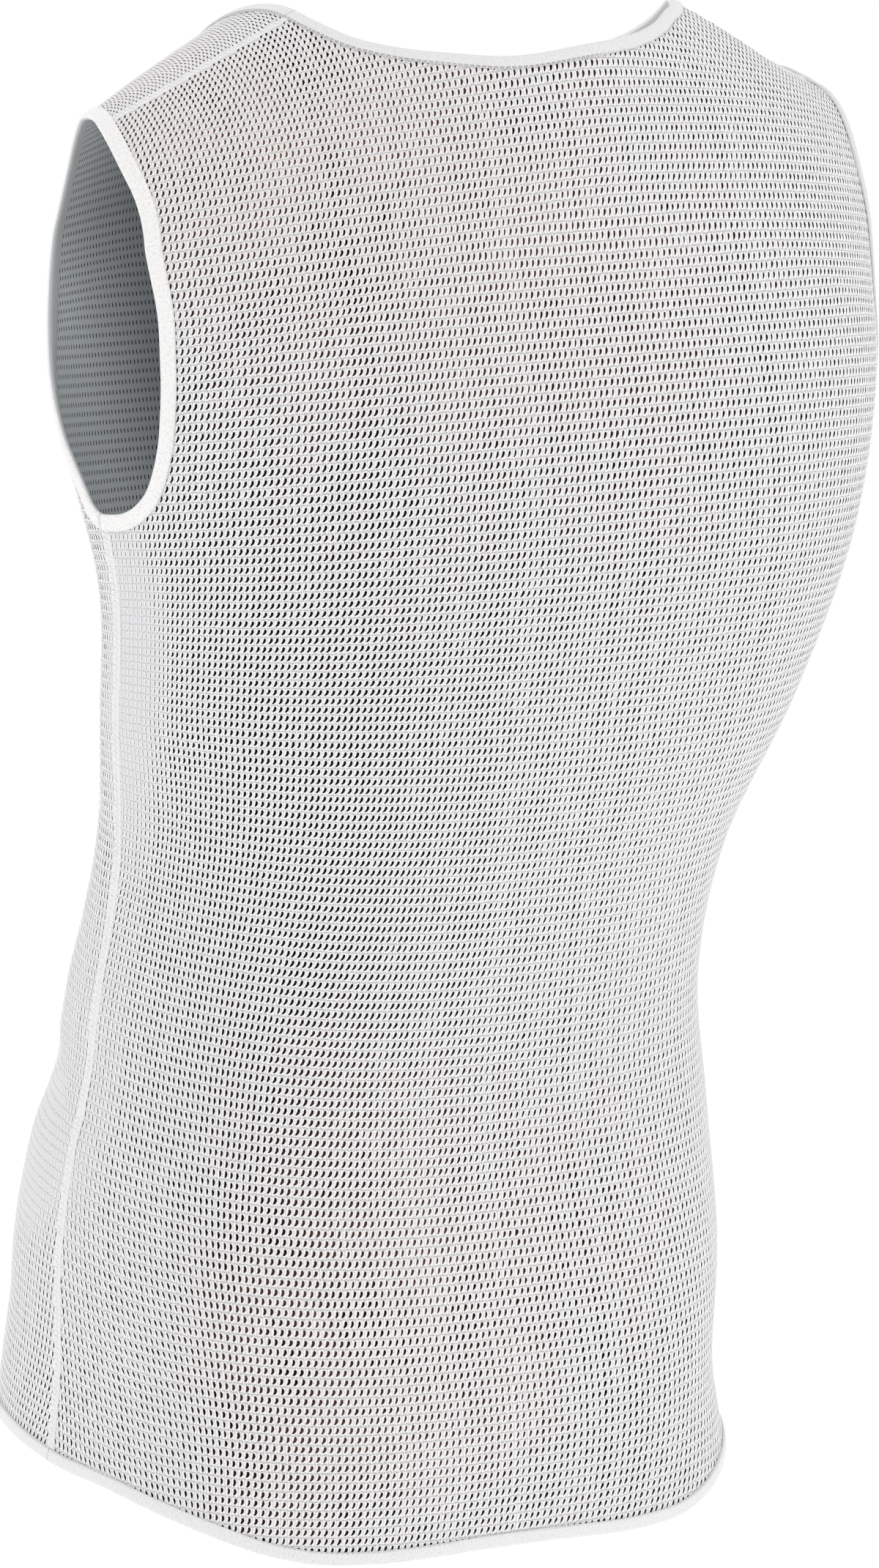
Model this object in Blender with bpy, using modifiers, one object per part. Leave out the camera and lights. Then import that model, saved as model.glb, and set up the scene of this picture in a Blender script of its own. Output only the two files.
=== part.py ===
"""Sleeveless mesh base layer in its worn shape, hollow, with nobody in it.

Metres, Z up, the front faces -Y, the wearer's left is +X. The origin lies
between the two shoulder seams, where the wearer carries the garment.
The cloth is one form: a closed section at each height, and a rounded ridge
over the shoulders. A place on it is (side, share, height): side is BACK or
FRONT, share runs from -1 at the right side seam over 0 at the middle to 1 at
the left side seam, and height is the run of the knitted row it lies in.
"""

import math

import bmesh
import bpy
import numpy as np
from mathutils import Vector
from mathutils.geometry import delaunay_2d_cdt

BACK, FRONT = 1, -1

# Sections of the worn form. half_width and the two depths reach from the
# section's centre to the cloth; row_tilt is how far a row rises per metre
# towards the back. The hips are carried a little forward and to the left.
SECTION_COLUMNS = (
    "height", "half_width", "back_depth", "front_depth", "centre_y", "centre_x", "row_tilt"
)
SECTIONS = (
    (-0.690, 0.1740, 0.1195, 0.1325, -0.0530, 0.0175, -0.170),  # below the hem
    (-0.630, 0.1680, 0.1150, 0.1335, -0.0490, 0.0160, -0.189),
    (-0.570, 0.1605, 0.1115, 0.1300, -0.0480, 0.0160, -0.208),  # hem
    (-0.510, 0.1605, 0.1110, 0.1150, -0.0455, 0.0160, -0.224),  # hip
    (-0.450, 0.1525, 0.1080, 0.0960, -0.0390, 0.0175, -0.236),
    (-0.390, 0.1445, 0.1065, 0.0870, -0.0315, 0.0190, -0.232),  # waist
    (-0.330, 0.1475, 0.1095, 0.0775, -0.0200, 0.0150, -0.188),
    (-0.270, 0.1655, 0.1195, 0.0740, -0.0065, 0.0055, -0.103),
    (-0.210, 0.1805, 0.1265, 0.0810, 0.0030, -0.0035, -0.012),
    (-0.150, 0.1955, 0.1255, 0.0985, 0.0045, -0.0040, 0.047),  # under the armholes
    (-0.100, 0.2030, 0.1175, 0.1110, 0.0030, -0.0015, 0.040),  # chest
    (-0.050, 0.2140, 0.1085, 0.1225, 0.0020, 0.0000, -0.023),  # shoulder blades
    (0.000, 0.2140, 0.1085, 0.1225, 0.0020, 0.0000, -0.113),  # and above
)
TOP_SECTION = -0.050  # the outline of a section stays the same above this height
HEM_SECTION = -0.660
WAIST = -0.400
ROUND_TOP, ROUND_BACK_HEM, ROUND_FRONT_HEM = 2.0, 2.69, 2.5  # squareness of a section
LEAN_TOP, LEAN_HEM = -0.094, 0.008  # rise of a row per metre towards the left side
LEAN_TOP_HEIGHT = 0.030

# Shoulder ridge, the highest line of the worn cloth.
RIDGE_HEIGHT = 0.0750
RIDGE_Y = -0.0024
RIDGE_DROP = 0.436  # per metre outwards
RIDGE_CURVE = 0.124  # per square metre
RIDGE_EASE = 0.020  # rounds the ridge off at the middle
BACK_ROUND, FRONT_ROUND = 0.122, 0.0985  # height over which the cloth turns to the ridge
ROUND_RUN = 1.15  # row run per unit of that turn
SEAM_BEHIND_RIDGE = 0.0220  # row run from the ridge back to the shoulder seam

# Right of the neck the cloth falls away to the front, from a crest behind the ridge.
FALL_DEPTH = 0.0280
FALL_CREST_Y = 0.0320
FALL_REACH = 0.0260  # distance in front of the crest over which it falls
FALL_POWER = 1.5  # rounds the crest
FALL_END = (0.085, 0.140)  # distances over which it comes back to the form
FALL_SHARES = (-0.58, -0.37, -0.22, -0.02)  # none, full, full, none
FALL_TURN = 0.5  # turn of the shoulder, in radians, from which it is full

# Edges of the panels, as (share, height) rows on the left half.
ARMHOLE_BACK = (
    (1.000, -0.1785),
    (0.932, -0.1782),
    (0.888, -0.1750),
    (0.850, -0.1695),
    (0.819, -0.1608),
    (0.795, -0.1510),
    (0.770, -0.1346),
    (0.737, -0.1072),
    (0.699, -0.0764),
    (0.674, -0.0472),
    (0.671, -0.0199),
    (0.679, 0.0109),
    (0.676, 0.0450),
)
ARMHOLE_FRONT = (
    (1.000, -0.1785),
    (0.970, -0.1755),
    (0.938, -0.1650),
    (0.900, -0.1535),
    (0.850, -0.1440),
    (0.800, -0.1315),
    (0.745, -0.1190),
    (0.690, -0.1060),
    (0.637, -0.0920),
    (0.590, -0.0780),
    (0.556, -0.0640),
    (0.536, -0.0490),
    (0.531, -0.0330),
    (0.537, -0.0170),
    (0.555, 0.0000),
    (0.585, 0.0200),
    (0.624, 0.0420),
)
SHOULDER_SHARE = 0.668  # where the shoulder seam meets the armhole
RIGHT_REACH = 0.030  # shares by which the right shoulder sits further out
REACH_FROM, REACH_TO = -0.090, 0.030  # heights between which its armhole moves out
NECK_SHARE = 0.289  # and the neck
NECK_BACK_LEFT = (
    (0.000, 0.0318), (0.100, 0.0312), (0.173, 0.0400), (0.205, 0.0454),
    (0.240, 0.0544), (0.263, 0.0637), (0.280, 0.0785), (0.288, 0.0935),
)
NECK_BACK_RIGHT = (
    (0.000, 0.0318), (0.107, 0.0398), (0.168, 0.0504), (0.214, 0.0627),
    (0.243, 0.0705), (0.266, 0.0800), (0.284, 0.0950),
)
NECK_FRONT = (
    (0.000, -0.0550), (0.100, -0.0500), (0.170, -0.0365), (0.220, -0.0160),
    (0.252, 0.0100), (0.272, 0.0420), (0.284, 0.0760),
)
HEM_BACK = (
    (0.00, -0.6175), (0.20, -0.6195), (0.32, -0.6190), (0.43, -0.6155),
    (0.55, -0.6100), (0.70, -0.6045), (0.85, -0.6015), (1.00, -0.6035),
)
HEM_FRONT = ((0.00, -0.6020), (0.50, -0.6030), (0.80, -0.6036), (1.00, -0.6035))

# Soft folds. around counts shares from the middle of the back over the left side
# seam (1) to the middle of the front (2), and the other way below zero. angle is
# that of the fold's line from the row, in degrees. A depth below zero is a ridge.
FOLD_COLUMNS = ("around", "height", "half_length", "half_width", "depth", "angle")
FOLDS = (
    (1.18, -0.438, 0.062, 0.016, 0.0024, -6.0),  # crease above the left hip
    (1.18, -0.400, 0.060, 0.018, -0.0010, -4.0),
    (1.20, -0.474, 0.060, 0.018, -0.0012, -6.0),
    (-1.18, -0.430, 0.060, 0.018, 0.0020, 10.0),  # and above the right hip
    (-0.62, -0.572, 0.075, 0.024, 0.0014, -14.0),  # over the right hem
    (0.90, -0.240, 0.060, 0.014, 0.0013, 80.0),  # below the armholes
    (-0.90, -0.245, 0.058, 0.015, 0.0013, -78.0),
    (1.92, -0.325, 0.090, 0.026, 0.0022, 5.0),  # across the front
    (-1.58, -0.225, 0.070, 0.022, 0.0018, 32.0),
)
SHARE_METRES = 0.245  # cloth round half a section, for the folds' lengths

# Cloth and trims.
CLOTH = 0.0012
SEAM_GAP = 0.0003
EDGE_ROW = 0.008  # the outer row of a panel, which its binding or seam lies on
BINDING_WIDTH = {"armhole": 0.0060, "neck": 0.0054, "hem": 0.0046}
BINDING_CLEARANCE = 0.0004
BINDING_WALL = 0.0008
FLATLOCK_WIDTH = 0.0038
FLATLOCK_WALL = 0.0008
SHARE_GAP = SEAM_GAP / 2 / SHARE_METRES
LATTICE = 0.0285  # spacing of the points inside a panel
SPACING = {"hem": 0.024, "side": 0.019, "armhole": 0.0115, "shoulder": 0.013, "neck": 0.010}
CURVE_SAMPLES = 240


def smooth(table, at):
    """Values of a (place, value) table at `at`, on one smooth curve."""
    place, value = np.array(table, float).T
    slope = np.gradient(value, place)
    i = np.clip(np.searchsorted(place, at) - 1, 0, len(place) - 2)
    span = place[i + 1] - place[i]
    t = np.clip((at - place[i]) / span, 0.0, 1.0)
    start = (1 + 2 * t) * (1 - t) ** 2 * value[i] + t * (1 - t) ** 2 * span * slope[i]
    end = t * t * (3 - 2 * t) * value[i + 1] + t * t * (t - 1) * span * slope[i + 1]
    return start + end


def section(column, height):
    k = SECTION_COLUMNS.index(column)
    return smooth([(row[0], row[k]) for row in SECTIONS], height)


def ridge(x):
    out = np.hypot(x, RIDGE_EASE)
    return RIDGE_HEIGHT - RIDGE_DROP * out - RIDGE_CURVE * out * out


def section_x(side, share, height):
    """Distance from the middle, and the share of the section's depth there."""
    low = np.minimum(height, TOP_SECTION)
    hem_round = np.where(side == BACK, ROUND_BACK_HEM, ROUND_FRONT_HEM)
    up = np.clip((low - HEM_SECTION) / (TOP_SECTION - HEM_SECTION), 0, 1)
    squareness = hem_round + (ROUND_TOP - hem_round) * up
    sine, cosine = np.sin(math.pi / 2 * share), np.cos(math.pi / 2 * share)
    x = section("half_width", low) * np.sign(sine) * np.abs(sine) ** (2 / squareness)
    return x, np.abs(cosine) ** (2 / squareness)


def ridge_run(side, share):
    """Height, as row run, at which a column of the cloth reaches the ridge."""
    x, _ = section_x(side, share, TOP_SECTION)
    turn = np.where(side == BACK, BACK_ROUND, FRONT_ROUND)
    return ridge(x) - turn + turn * ROUND_RUN * math.pi / 2


def eased(value, low, high):
    """A soft step from 0 at low to 1 at high."""
    t = np.clip((value - low) / (high - low), 0.0, 1.0)
    return t * t * (3 - 2 * t)


def fall(share, angle, y):
    """How far the cloth falls away right of the neck."""
    none, full, still_full, none_again = FALL_SHARES
    across = eased(share, none, full) * (1 - eased(share, still_full, none_again))
    forward = np.maximum(FALL_CREST_Y - y, 0)
    down = (1 - np.exp(-((forward / FALL_REACH) ** FALL_POWER))) * (1 - eased(forward, *FALL_END))
    return FALL_DEPTH * across * down * eased(angle, 0.0, FALL_TURN)


def form_point(side, share, height):
    """Points of the plain form. A front column may run on over the ridge to the back."""
    side, share, height = np.broadcast_arrays(side, np.float64(share), np.float64(height))
    past = height - ridge_run(side, share)
    height = np.where(past > 0, ridge_run(-side, share) - past, height)
    side = np.where(past > 0, -side, side)
    x, depth_share = section_x(side, share, height)
    turn = np.where(side == BACK, BACK_ROUND, FRONT_ROUND)
    start = ridge(x) - turn
    angle = np.clip((height - start) / (turn * ROUND_RUN), 0.0, math.pi / 2)
    z = np.where(height > start, start + turn * np.sin(angle), height)
    low = np.minimum(height, TOP_SECTION)
    depth = np.where(side == BACK, section("back_depth", low), section("front_depth", low))
    centre_y = section("centre_y", low)
    y = centre_y + side * depth * depth_share * np.cos(angle)
    y = y + (RIDGE_Y - centre_y) * (1 - np.cos(angle))
    z = z - fall(share, angle, y)
    lean = np.interp(z, (HEM_SECTION, LEAN_TOP_HEIGHT), (LEAN_HEM, LEAN_TOP))
    z = z + lean * x + section("row_tilt", z) * y
    return np.stack([x + section("centre_x", low), y, z], axis=-1)


def form_normal(side, share, height):
    """Unit normals of the form, out of the garment."""
    step = 0.002
    across = form_point(side, share + step, height) - form_point(side, share - step, height)
    upward = form_point(side, share, height + step) - form_point(side, share, height - step)
    normal = np.cross(across, upward) * -np.float64(side)[..., None]
    return normal / np.linalg.norm(normal, axis=-1, keepdims=True)


def fold_depth(side, share, height):
    around = np.where(side == BACK, share, np.where(share > 0, 2.0, -2.0) - share)
    depth = np.zeros(np.shape(share))
    for place, at_height, half_length, half_width, fold, degrees in FOLDS:
        across = ((around - place + 2.0) % 4.0 - 2.0) * SHARE_METRES
        upward = height - at_height
        turn = math.radians(degrees)
        along_fold = across * math.cos(turn) + upward * math.sin(turn)
        off_fold = upward * math.cos(turn) - across * math.sin(turn)
        depth += fold * np.exp(-((along_fold / half_length) ** 2) - (off_fold / half_width) ** 2)
    return depth


def cloth_point(side, share, height):
    side, share, height = np.broadcast_arrays(side, np.float64(share), np.float64(height))
    inward = form_normal(side, share, height) * fold_depth(side, share, height)[..., None]
    return form_point(side, share, height) - inward


def along(points, count=CURVE_SAMPLES):
    """One smooth curve through (share, height) points, as `count` points."""
    points = np.array(points, float)
    steps = np.hypot(np.diff(points[:, 0]) * SHARE_METRES, np.diff(points[:, 1]))
    chord = np.r_[0, np.cumsum(steps)]
    at = np.linspace(0, chord[-1], count)
    return np.stack([smooth(np.c_[chord, points[:, k]], at) for k in (0, 1)], axis=1)


def stations(curve, side, spacing):
    """The curve cut into even steps, with one edge row's width at either end."""
    points = form_point(side, curve[:, 0], curve[:, 1])
    run = np.r_[0, np.cumsum(np.linalg.norm(np.diff(points, axis=0), axis=1))]
    inner = run[-1] - 2 * EDGE_ROW
    steps = max(2, round(inner / spacing))
    at = np.r_[0, EDGE_ROW + np.linspace(0, inner, steps + 1), run[-1]]
    return np.stack([np.interp(at, run, curve[:, k]) for k in (0, 1)], axis=1)


def panel_top(side, share):
    """Height of a panel's shoulder edge. The front panel runs over the ridge to the seam."""
    if side == BACK:
        return ridge_run(BACK, share) - SEAM_BEHIND_RIDGE
    return ridge_run(FRONT, share) + SEAM_BEHIND_RIDGE


def mirrored(side, edge, at_shoulder):
    """The same edge on the wearer's right, still in order round the panel. Near the shoulder
    its points lie further out, down the slope of the shoulder."""
    share, height = edge.T
    up = np.clip((height - REACH_FROM) / (REACH_TO - REACH_FROM), 0, 1)
    level = 1.0 if at_shoulder else up * up * (3 - 2 * up)
    outward = np.clip((share - NECK_SHARE) / (SHOULDER_SHARE - NECK_SHARE), 0, 1)
    further = share + RIGHT_REACH * outward * level
    drop = panel_top(side, further) - panel_top(side, share)
    return np.stack([-further, height + drop * level], axis=1)[::-1]


def panel_edges(side):
    """The panel's edges in order round it, each an array of (share, height) stations."""
    armhole = ARMHOLE_BACK if side == BACK else ARMHOLE_FRONT
    hem = HEM_BACK if side == BACK else HEM_FRONT
    neck_left = NECK_BACK_LEFT if side == BACK else NECK_FRONT
    neck_right = NECK_BACK_RIGHT if side == BACK else NECK_FRONT
    shares = np.linspace(SHOULDER_SHARE, NECK_SHARE, CURVE_SAMPLES)
    neck_top, arm_top = (float(panel_top(side, at)) for at in (NECK_SHARE, SHOULDER_SHARE))
    curves = {
        "hem": along([(-share, height) for share, height in reversed(hem)] + list(hem[1:])),
        "side": along([(1.0, hem[-1][1]), (1.0, WAIST), armhole[0]]),
        "armhole": along(list(armhole) + [(SHOULDER_SHARE, arm_top)]),
        "shoulder": np.stack([shares, panel_top(side, shares)], axis=1),
        "neck": along(
            [(NECK_SHARE, neck_top)]
            + list(reversed(neck_left))
            + [(-share, height) for share, height in neck_right[1:]]
            + [(-NECK_SHARE, neck_top)]
        ),
    }
    edges = {}
    for name, curve in curves.items():
        edge = stations(curve, side, SPACING[name])
        edge[:, 0] = np.clip(edge[:, 0], -1 + SHARE_GAP, 1 - SHARE_GAP)
        edge[:, 1] = np.minimum(edge[:, 1], panel_top(side, edge[:, 0]) - SEAM_GAP / 2)
        edges[name] = edge
    return {
        "hem": edges["hem"],
        "side_left": edges["side"],
        "armhole_left": edges["armhole"],
        "shoulder_left": edges["shoulder"],
        "neck": edges["neck"],
        "shoulder_right": mirrored(side, edges["shoulder"], True),
        "armhole_right": mirrored(side, edges["armhole"], False),
        "side_right": mirrored(side, edges["side"], False),
    }


def step_inward(side, places, before, after, distance):
    """(share, height) places moved into the panel, square to the edge, by a real distance."""
    share, height = places.T
    step = 0.001
    by_share = form_point(side, share + step, height) - form_point(side, share - step, height)
    by_height = form_point(side, share, height + step) - form_point(side, share, height - step)
    by_share, by_height = by_share / (2 * step), by_height / (2 * step)
    tangent = form_point(side, *after.T) - form_point(side, *before.T)
    normal = np.cross(by_share, by_height)
    inward = np.cross(normal, tangent)  # the edges run anticlockwise in (share, height)
    inward *= distance / np.linalg.norm(inward, axis=1, keepdims=True)
    moved = []
    for place, across, upward, move in zip(places, by_share, by_height, inward):
        jump, *_ = np.linalg.lstsq(np.stack([across, upward], axis=1), move, rcond=None)
        moved.append(place + jump)
    return np.array(moved)


class Panel:
    """One panel: its edge stations, the row of points inside them, and its mesh."""

    def __init__(self, name, side):
        self.name, self.side = name, side
        self.edges = panel_edges(side)
        self.inner = {}
        for edge_name, edge in self.edges.items():
            middle = edge[1:-1]
            self.inner[edge_name] = step_inward(side, middle, edge[:-2], edge[2:], EDGE_ROW)
        names = list(self.edges)
        for first, second in zip(names, names[1:] + names[:1]):
            corner = (self.inner[first][-1] + self.inner[second][0]) / 2
            self.inner[first][-1] = self.inner[second][0] = corner

    def band(self, edge_name):
        """Edge stations and the points an edge row inside them, for what lies on that edge."""
        edge, inner = self.edges[edge_name], self.inner[edge_name]
        names = list(self.edges)
        k = names.index(edge_name)
        start = self.edges[names[k - 1]][-2]
        end = self.edges[names[(k + 1) % len(names)]][1]
        return edge, np.vstack([start, inner, end])

    def mesh(self):
        """Vertices as (share, height) and faces: an edge row of quads round a triangle lattice."""
        places, index, quads, loop = [], {}, [], []

        def number(place):
            key = (round(float(place[0]), 7), round(float(place[1]), 7))
            if key not in index:
                index[key] = len(places)
                places.append(key)
            return index[key]

        names = list(self.edges)
        for k, name in enumerate(names):
            edge, inner = self.edges[name], self.inner[name]
            row = [number(place) for place in inner]
            rim = [number(place) for place in edge]
            loop += row[:-1]
            for i in range(len(row) - 1):
                quads.append((rim[i + 1], rim[i + 2], row[i + 1], row[i]))
            following = self.edges[names[(k + 1) % len(names)]]
            quads.append((rim[-2], rim[-1], number(following[1]), row[-1]))
        ring = [Vector((places[i][0] * SHARE_METRES, places[i][1])) for i in loop]
        inside = self.lattice(ring)
        count = len(ring)
        sides = [(i, (i + 1) % count) for i in range(count)]
        points, _, faces, *_ = delaunay_2d_cdt(ring + inside, sides, [], 1, 1e-7)
        own = list(loop) + [number((p.x / SHARE_METRES, p.y)) for p in points[count:]]
        triangles = [tuple(own[i] for i in face) for face in faces]
        places = np.array(places)
        return places, split(form_point(self.side, *places.T), quads) + triangles

    def lattice(self, ring):
        """Evenly staggered points inside the ring, clear of it by half their spacing."""
        outline = np.array([(p.x, p.y) for p in ring])
        low, high = outline.min(axis=0), outline.max(axis=0)
        found = []
        row_step = LATTICE * math.sqrt(3) / 2
        for j, height in enumerate(np.arange(low[1], high[1], row_step)):
            for across in np.arange(low[0] - (j % 2) * LATTICE / 2, high[0], LATTICE):
                point = np.array((across, height))
                if inside_of(outline, point) and to_outline(outline, point) > LATTICE * 0.5:
                    found.append(Vector(point))
        return found


def inside_of(outline, point):
    a, b = outline, np.roll(outline, -1, axis=0)
    level = (a[:, 1] > point[1]) != (b[:, 1] > point[1])
    with np.errstate(divide="ignore", invalid="ignore"):
        crossing = a[:, 0] + (point[1] - a[:, 1]) / (b[:, 1] - a[:, 1]) * (b[:, 0] - a[:, 0])
    return np.count_nonzero(level & (crossing > point[0])) % 2 == 1


def to_outline(outline, point):
    a, b = outline, np.roll(outline, -1, axis=0)
    span = b - a
    t = np.clip(((point - a) * span).sum(axis=1) / (span * span).sum(axis=1), 0, 1)
    return np.linalg.norm(a + span * t[:, None] - point, axis=1).min()


def split(points, quads):
    """Each four-sided face as two triangles across its shorter diagonal, as in the next strip."""
    triangles = []
    for a, b, c, d in quads:
        if math.dist(points[a], points[c]) <= math.dist(points[b], points[d]):
            triangles += [(a, b, c), (a, c, d)]
        else:
            triangles += [(a, b, d), (b, c, d)]
    return triangles


def new_object(name, vertices, faces, collection, material):
    mesh = bpy.data.meshes.new(name)
    mesh.from_pydata([tuple(v) for v in vertices], [], faces)
    tidy = bmesh.new()
    tidy.from_mesh(mesh)
    bmesh.ops.recalc_face_normals(tidy, faces=tidy.faces)
    tidy.to_mesh(mesh)
    tidy.free()
    mesh.polygons.foreach_set("use_smooth", [True] * len(mesh.polygons))
    mesh.materials.append(material)
    made = bpy.data.objects.new(name, mesh)
    collection.objects.link(made)
    return made


def cloth_material(name, colour, roughness, sheen):
    material = bpy.data.materials.new(name)
    material.use_nodes = True
    shader = material.node_tree.nodes["Principled BSDF"]
    shader.inputs["Base Color"].default_value = (*colour, 1.0)
    shader.inputs["Roughness"].default_value = roughness
    shader.inputs["Sheen Weight"].default_value = sheen
    return material


def build_panel(panel, collection, material):
    places, faces = panel.mesh()
    made = new_object(panel.name, cloth_point(panel.side, *places.T), faces, collection, material)
    wall = made.modifiers.new("cloth_wall", "SOLIDIFY")
    wall.thickness = CLOTH
    wall.offset = 0.0
    wall.use_even_offset = True
    return made


def rows_on(side, edge, inner, share_in):
    """Points and normals on the cloth's own facets, share_in of the way to the inner row."""
    outer, inward = cloth_point(side, *edge.T), cloth_point(side, *inner.T)
    normals = form_normal(side, *edge.T), form_normal(side, *inner.T)
    return outer + (inward - outer) * share_in, normals[0] + (normals[1] - normals[0]) * share_in


def tube(name, sections, closed, collection, material):
    """A solid swept through sections of equal point count, capped at open ends."""
    count = len(sections[0])
    vertices = [point for ring in sections for point in ring]
    quads = []
    for i in range(len(sections) if closed else len(sections) - 1):
        near, far = i * count, ((i + 1) % len(sections)) * count
        for j in range(count):
            k = (j + 1) % count
            quads.append((near + j, near + k, far + k, far + j))
    faces = split(vertices, quads)
    if not closed:
        last = (len(sections) - 1) * count
        faces.append(tuple(range(count)))
        faces.append(tuple(last + j for j in reversed(range(count))))
    return new_object(name, vertices, faces, collection, material)


def join_stations(parts):
    """Edge rows of several panels as one loop, with the two stations at each seam made one."""
    merged = []
    for part, following in zip(parts, parts[1:] + parts[:1]):
        merged += list(zip(*[rows[1:-1] for rows in part]))
        merged.append([(mine[-1] + theirs[0]) / 2 for mine, theirs in zip(part, following)])
    return merged


def edge_part(panel, edge_name):
    edge, inner = panel.band(edge_name)
    outer, outer_normal = rows_on(panel.side, edge, inner, 0.0)
    width = BINDING_WIDTH[edge_name.split("_")[0]]
    inward, inner_normal = rows_on(panel.side, edge, inner, width / EDGE_ROW)
    return outer, inward, outer_normal, inner_normal


def build_binding(name, parts, collection, material):
    """A strip folded over the cloth's edge, open towards the panel."""
    near = CLOTH / 2 + BINDING_CLEARANCE
    far = near + BINDING_WALL
    sections = []
    for outer, inward, outer_normal, inner_normal in join_stations(parts):
        up = outer_normal / np.linalg.norm(outer_normal)
        up_in = inner_normal / np.linalg.norm(inner_normal)
        out = outer - inward
        out /= np.linalg.norm(out)
        fold, slot = BINDING_WALL + BINDING_CLEARANCE, BINDING_CLEARANCE
        sections.append(
            [
                inward + up_in * far,
                outer + up * far,
                outer + out * fold + up * far * 0.45,
                outer + out * fold - up * far * 0.45,
                outer - up * far,
                inward - up_in * far,
                inward - up_in * near,
                outer + out * slot - up * near,
                outer + out * slot + up * near,
                inward + up_in * near,
            ]
        )
    return tube(name, sections, True, collection, material)


def build_flatlock(name, back, front, edge_name, collection, material):
    """The flat band of stitches that lies over a seam, on both panels."""
    near = CLOTH / 2 + BINDING_CLEARANCE
    far = near + FLATLOCK_WALL
    rows = []
    for panel in (back, front):
        edge, inner = panel.edges[edge_name][1:-1], panel.inner[edge_name]
        share_in = FLATLOCK_WIDTH / 2 / EDGE_ROW
        rows.append(
            rows_on(panel.side, edge, inner, share_in) + rows_on(panel.side, edge, inner, 0.0)
        )
    sections = []
    for i in range(len(rows[0][0])):
        (b, bn, be, ben), (f, fn, fe, fen) = [[array[i] for array in row] for row in rows]
        middle, up = (be + fe) / 2, (ben + fen) / 2
        across = ((b, bn), (middle, up), (f, fn))
        lifted = [(point, normal / np.linalg.norm(normal)) for point, normal in across]
        outside = [point + normal * far for point, normal in lifted]
        sections.append(outside + [point + normal * near for point, normal in reversed(lifted)])
    return tube(name, sections, False, collection, material)


def clear_scene():
    for old in list(bpy.data.objects):
        bpy.data.objects.remove(old, do_unlink=True)


def build():
    clear_scene()
    garment = bpy.data.collections.new("sleeveless_base_layer")
    bpy.context.scene.collection.children.link(garment)
    knit = cloth_material("knit_mesh", (0.84, 0.86, 0.87), 0.85, 0.3)
    binding = cloth_material("elastic_binding", (0.87, 0.88, 0.88), 0.7, 0.2)
    thread = cloth_material("flatlock_thread", (0.85, 0.85, 0.83), 0.75, 0.1)
    back, front = Panel("back_panel", BACK), Panel("front_panel", FRONT)
    build_panel(back, garment, knit)
    build_panel(front, garment, knit)
    for side in ("left", "right"):
        build_flatlock(f"side_seam_{side}", back, front, f"side_{side}", garment, thread)
        build_flatlock(f"shoulder_seam_{side}", back, front, f"shoulder_{side}", garment, thread)
        hole = f"armhole_{side}"
        build_binding(f"armhole_binding_{side}", facing_pair(back, front, hole), garment, binding)
    build_binding("neck_binding", facing_pair(back, front, "neck"), garment, binding)
    build_binding("hem_binding", facing_pair(back, front, "hem"), garment, binding)


def facing_pair(back, front, edge_name):
    """The back's edge, then the front's the other way round, so that they make one loop."""
    turned = [array[::-1] for array in edge_part(front, edge_name)]
    return [edge_part(back, edge_name), turned]


build()
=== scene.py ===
"""A sleeveless base layer in white mesh knit, filled out as worn, with elastic bindings.

Metres, Z up. The front faces -Y and the wearer's left is +X. A place on the cloth
is (side, share, height): side is the back or the front, share runs from -1 at the
right side seam over 0 at the middle to 1 at the left side seam, and height is the
run of the knitted row it lies in. The tables of the form repeat those of the part.
"""

import logging
import math
from dataclasses import dataclass, field
from enum import Enum

import bpy
import numpy as np
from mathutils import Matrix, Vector
from mathutils.kdtree import KDTree


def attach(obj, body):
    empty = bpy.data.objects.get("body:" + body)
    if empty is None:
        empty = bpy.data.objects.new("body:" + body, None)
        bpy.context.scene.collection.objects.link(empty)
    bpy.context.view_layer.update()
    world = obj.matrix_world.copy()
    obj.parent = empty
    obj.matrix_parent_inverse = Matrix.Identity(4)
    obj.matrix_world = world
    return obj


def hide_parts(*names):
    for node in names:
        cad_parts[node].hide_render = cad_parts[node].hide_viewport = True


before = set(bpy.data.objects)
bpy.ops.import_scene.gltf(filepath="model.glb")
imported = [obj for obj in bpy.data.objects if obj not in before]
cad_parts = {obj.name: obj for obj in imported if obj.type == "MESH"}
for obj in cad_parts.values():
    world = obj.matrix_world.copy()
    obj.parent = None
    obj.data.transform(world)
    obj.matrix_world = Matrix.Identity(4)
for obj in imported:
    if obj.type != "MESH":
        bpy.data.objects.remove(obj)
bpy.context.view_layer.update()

LOG = logging.getLogger("base_layer")
BODY = "root"
MM = 0.001
Array = np.ndarray
Pair = tuple[np.ndarray, np.ndarray]
Piece, Material = bpy.types.Object, bpy.types.Material
Tree, Socket = bpy.types.NodeTree, bpy.types.NodeSocket


class Side(Enum):
    """A panel of the garment, as the sign of its outward direction along Y."""

    BACK = 1
    FRONT = -1


# --- The worn form

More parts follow.
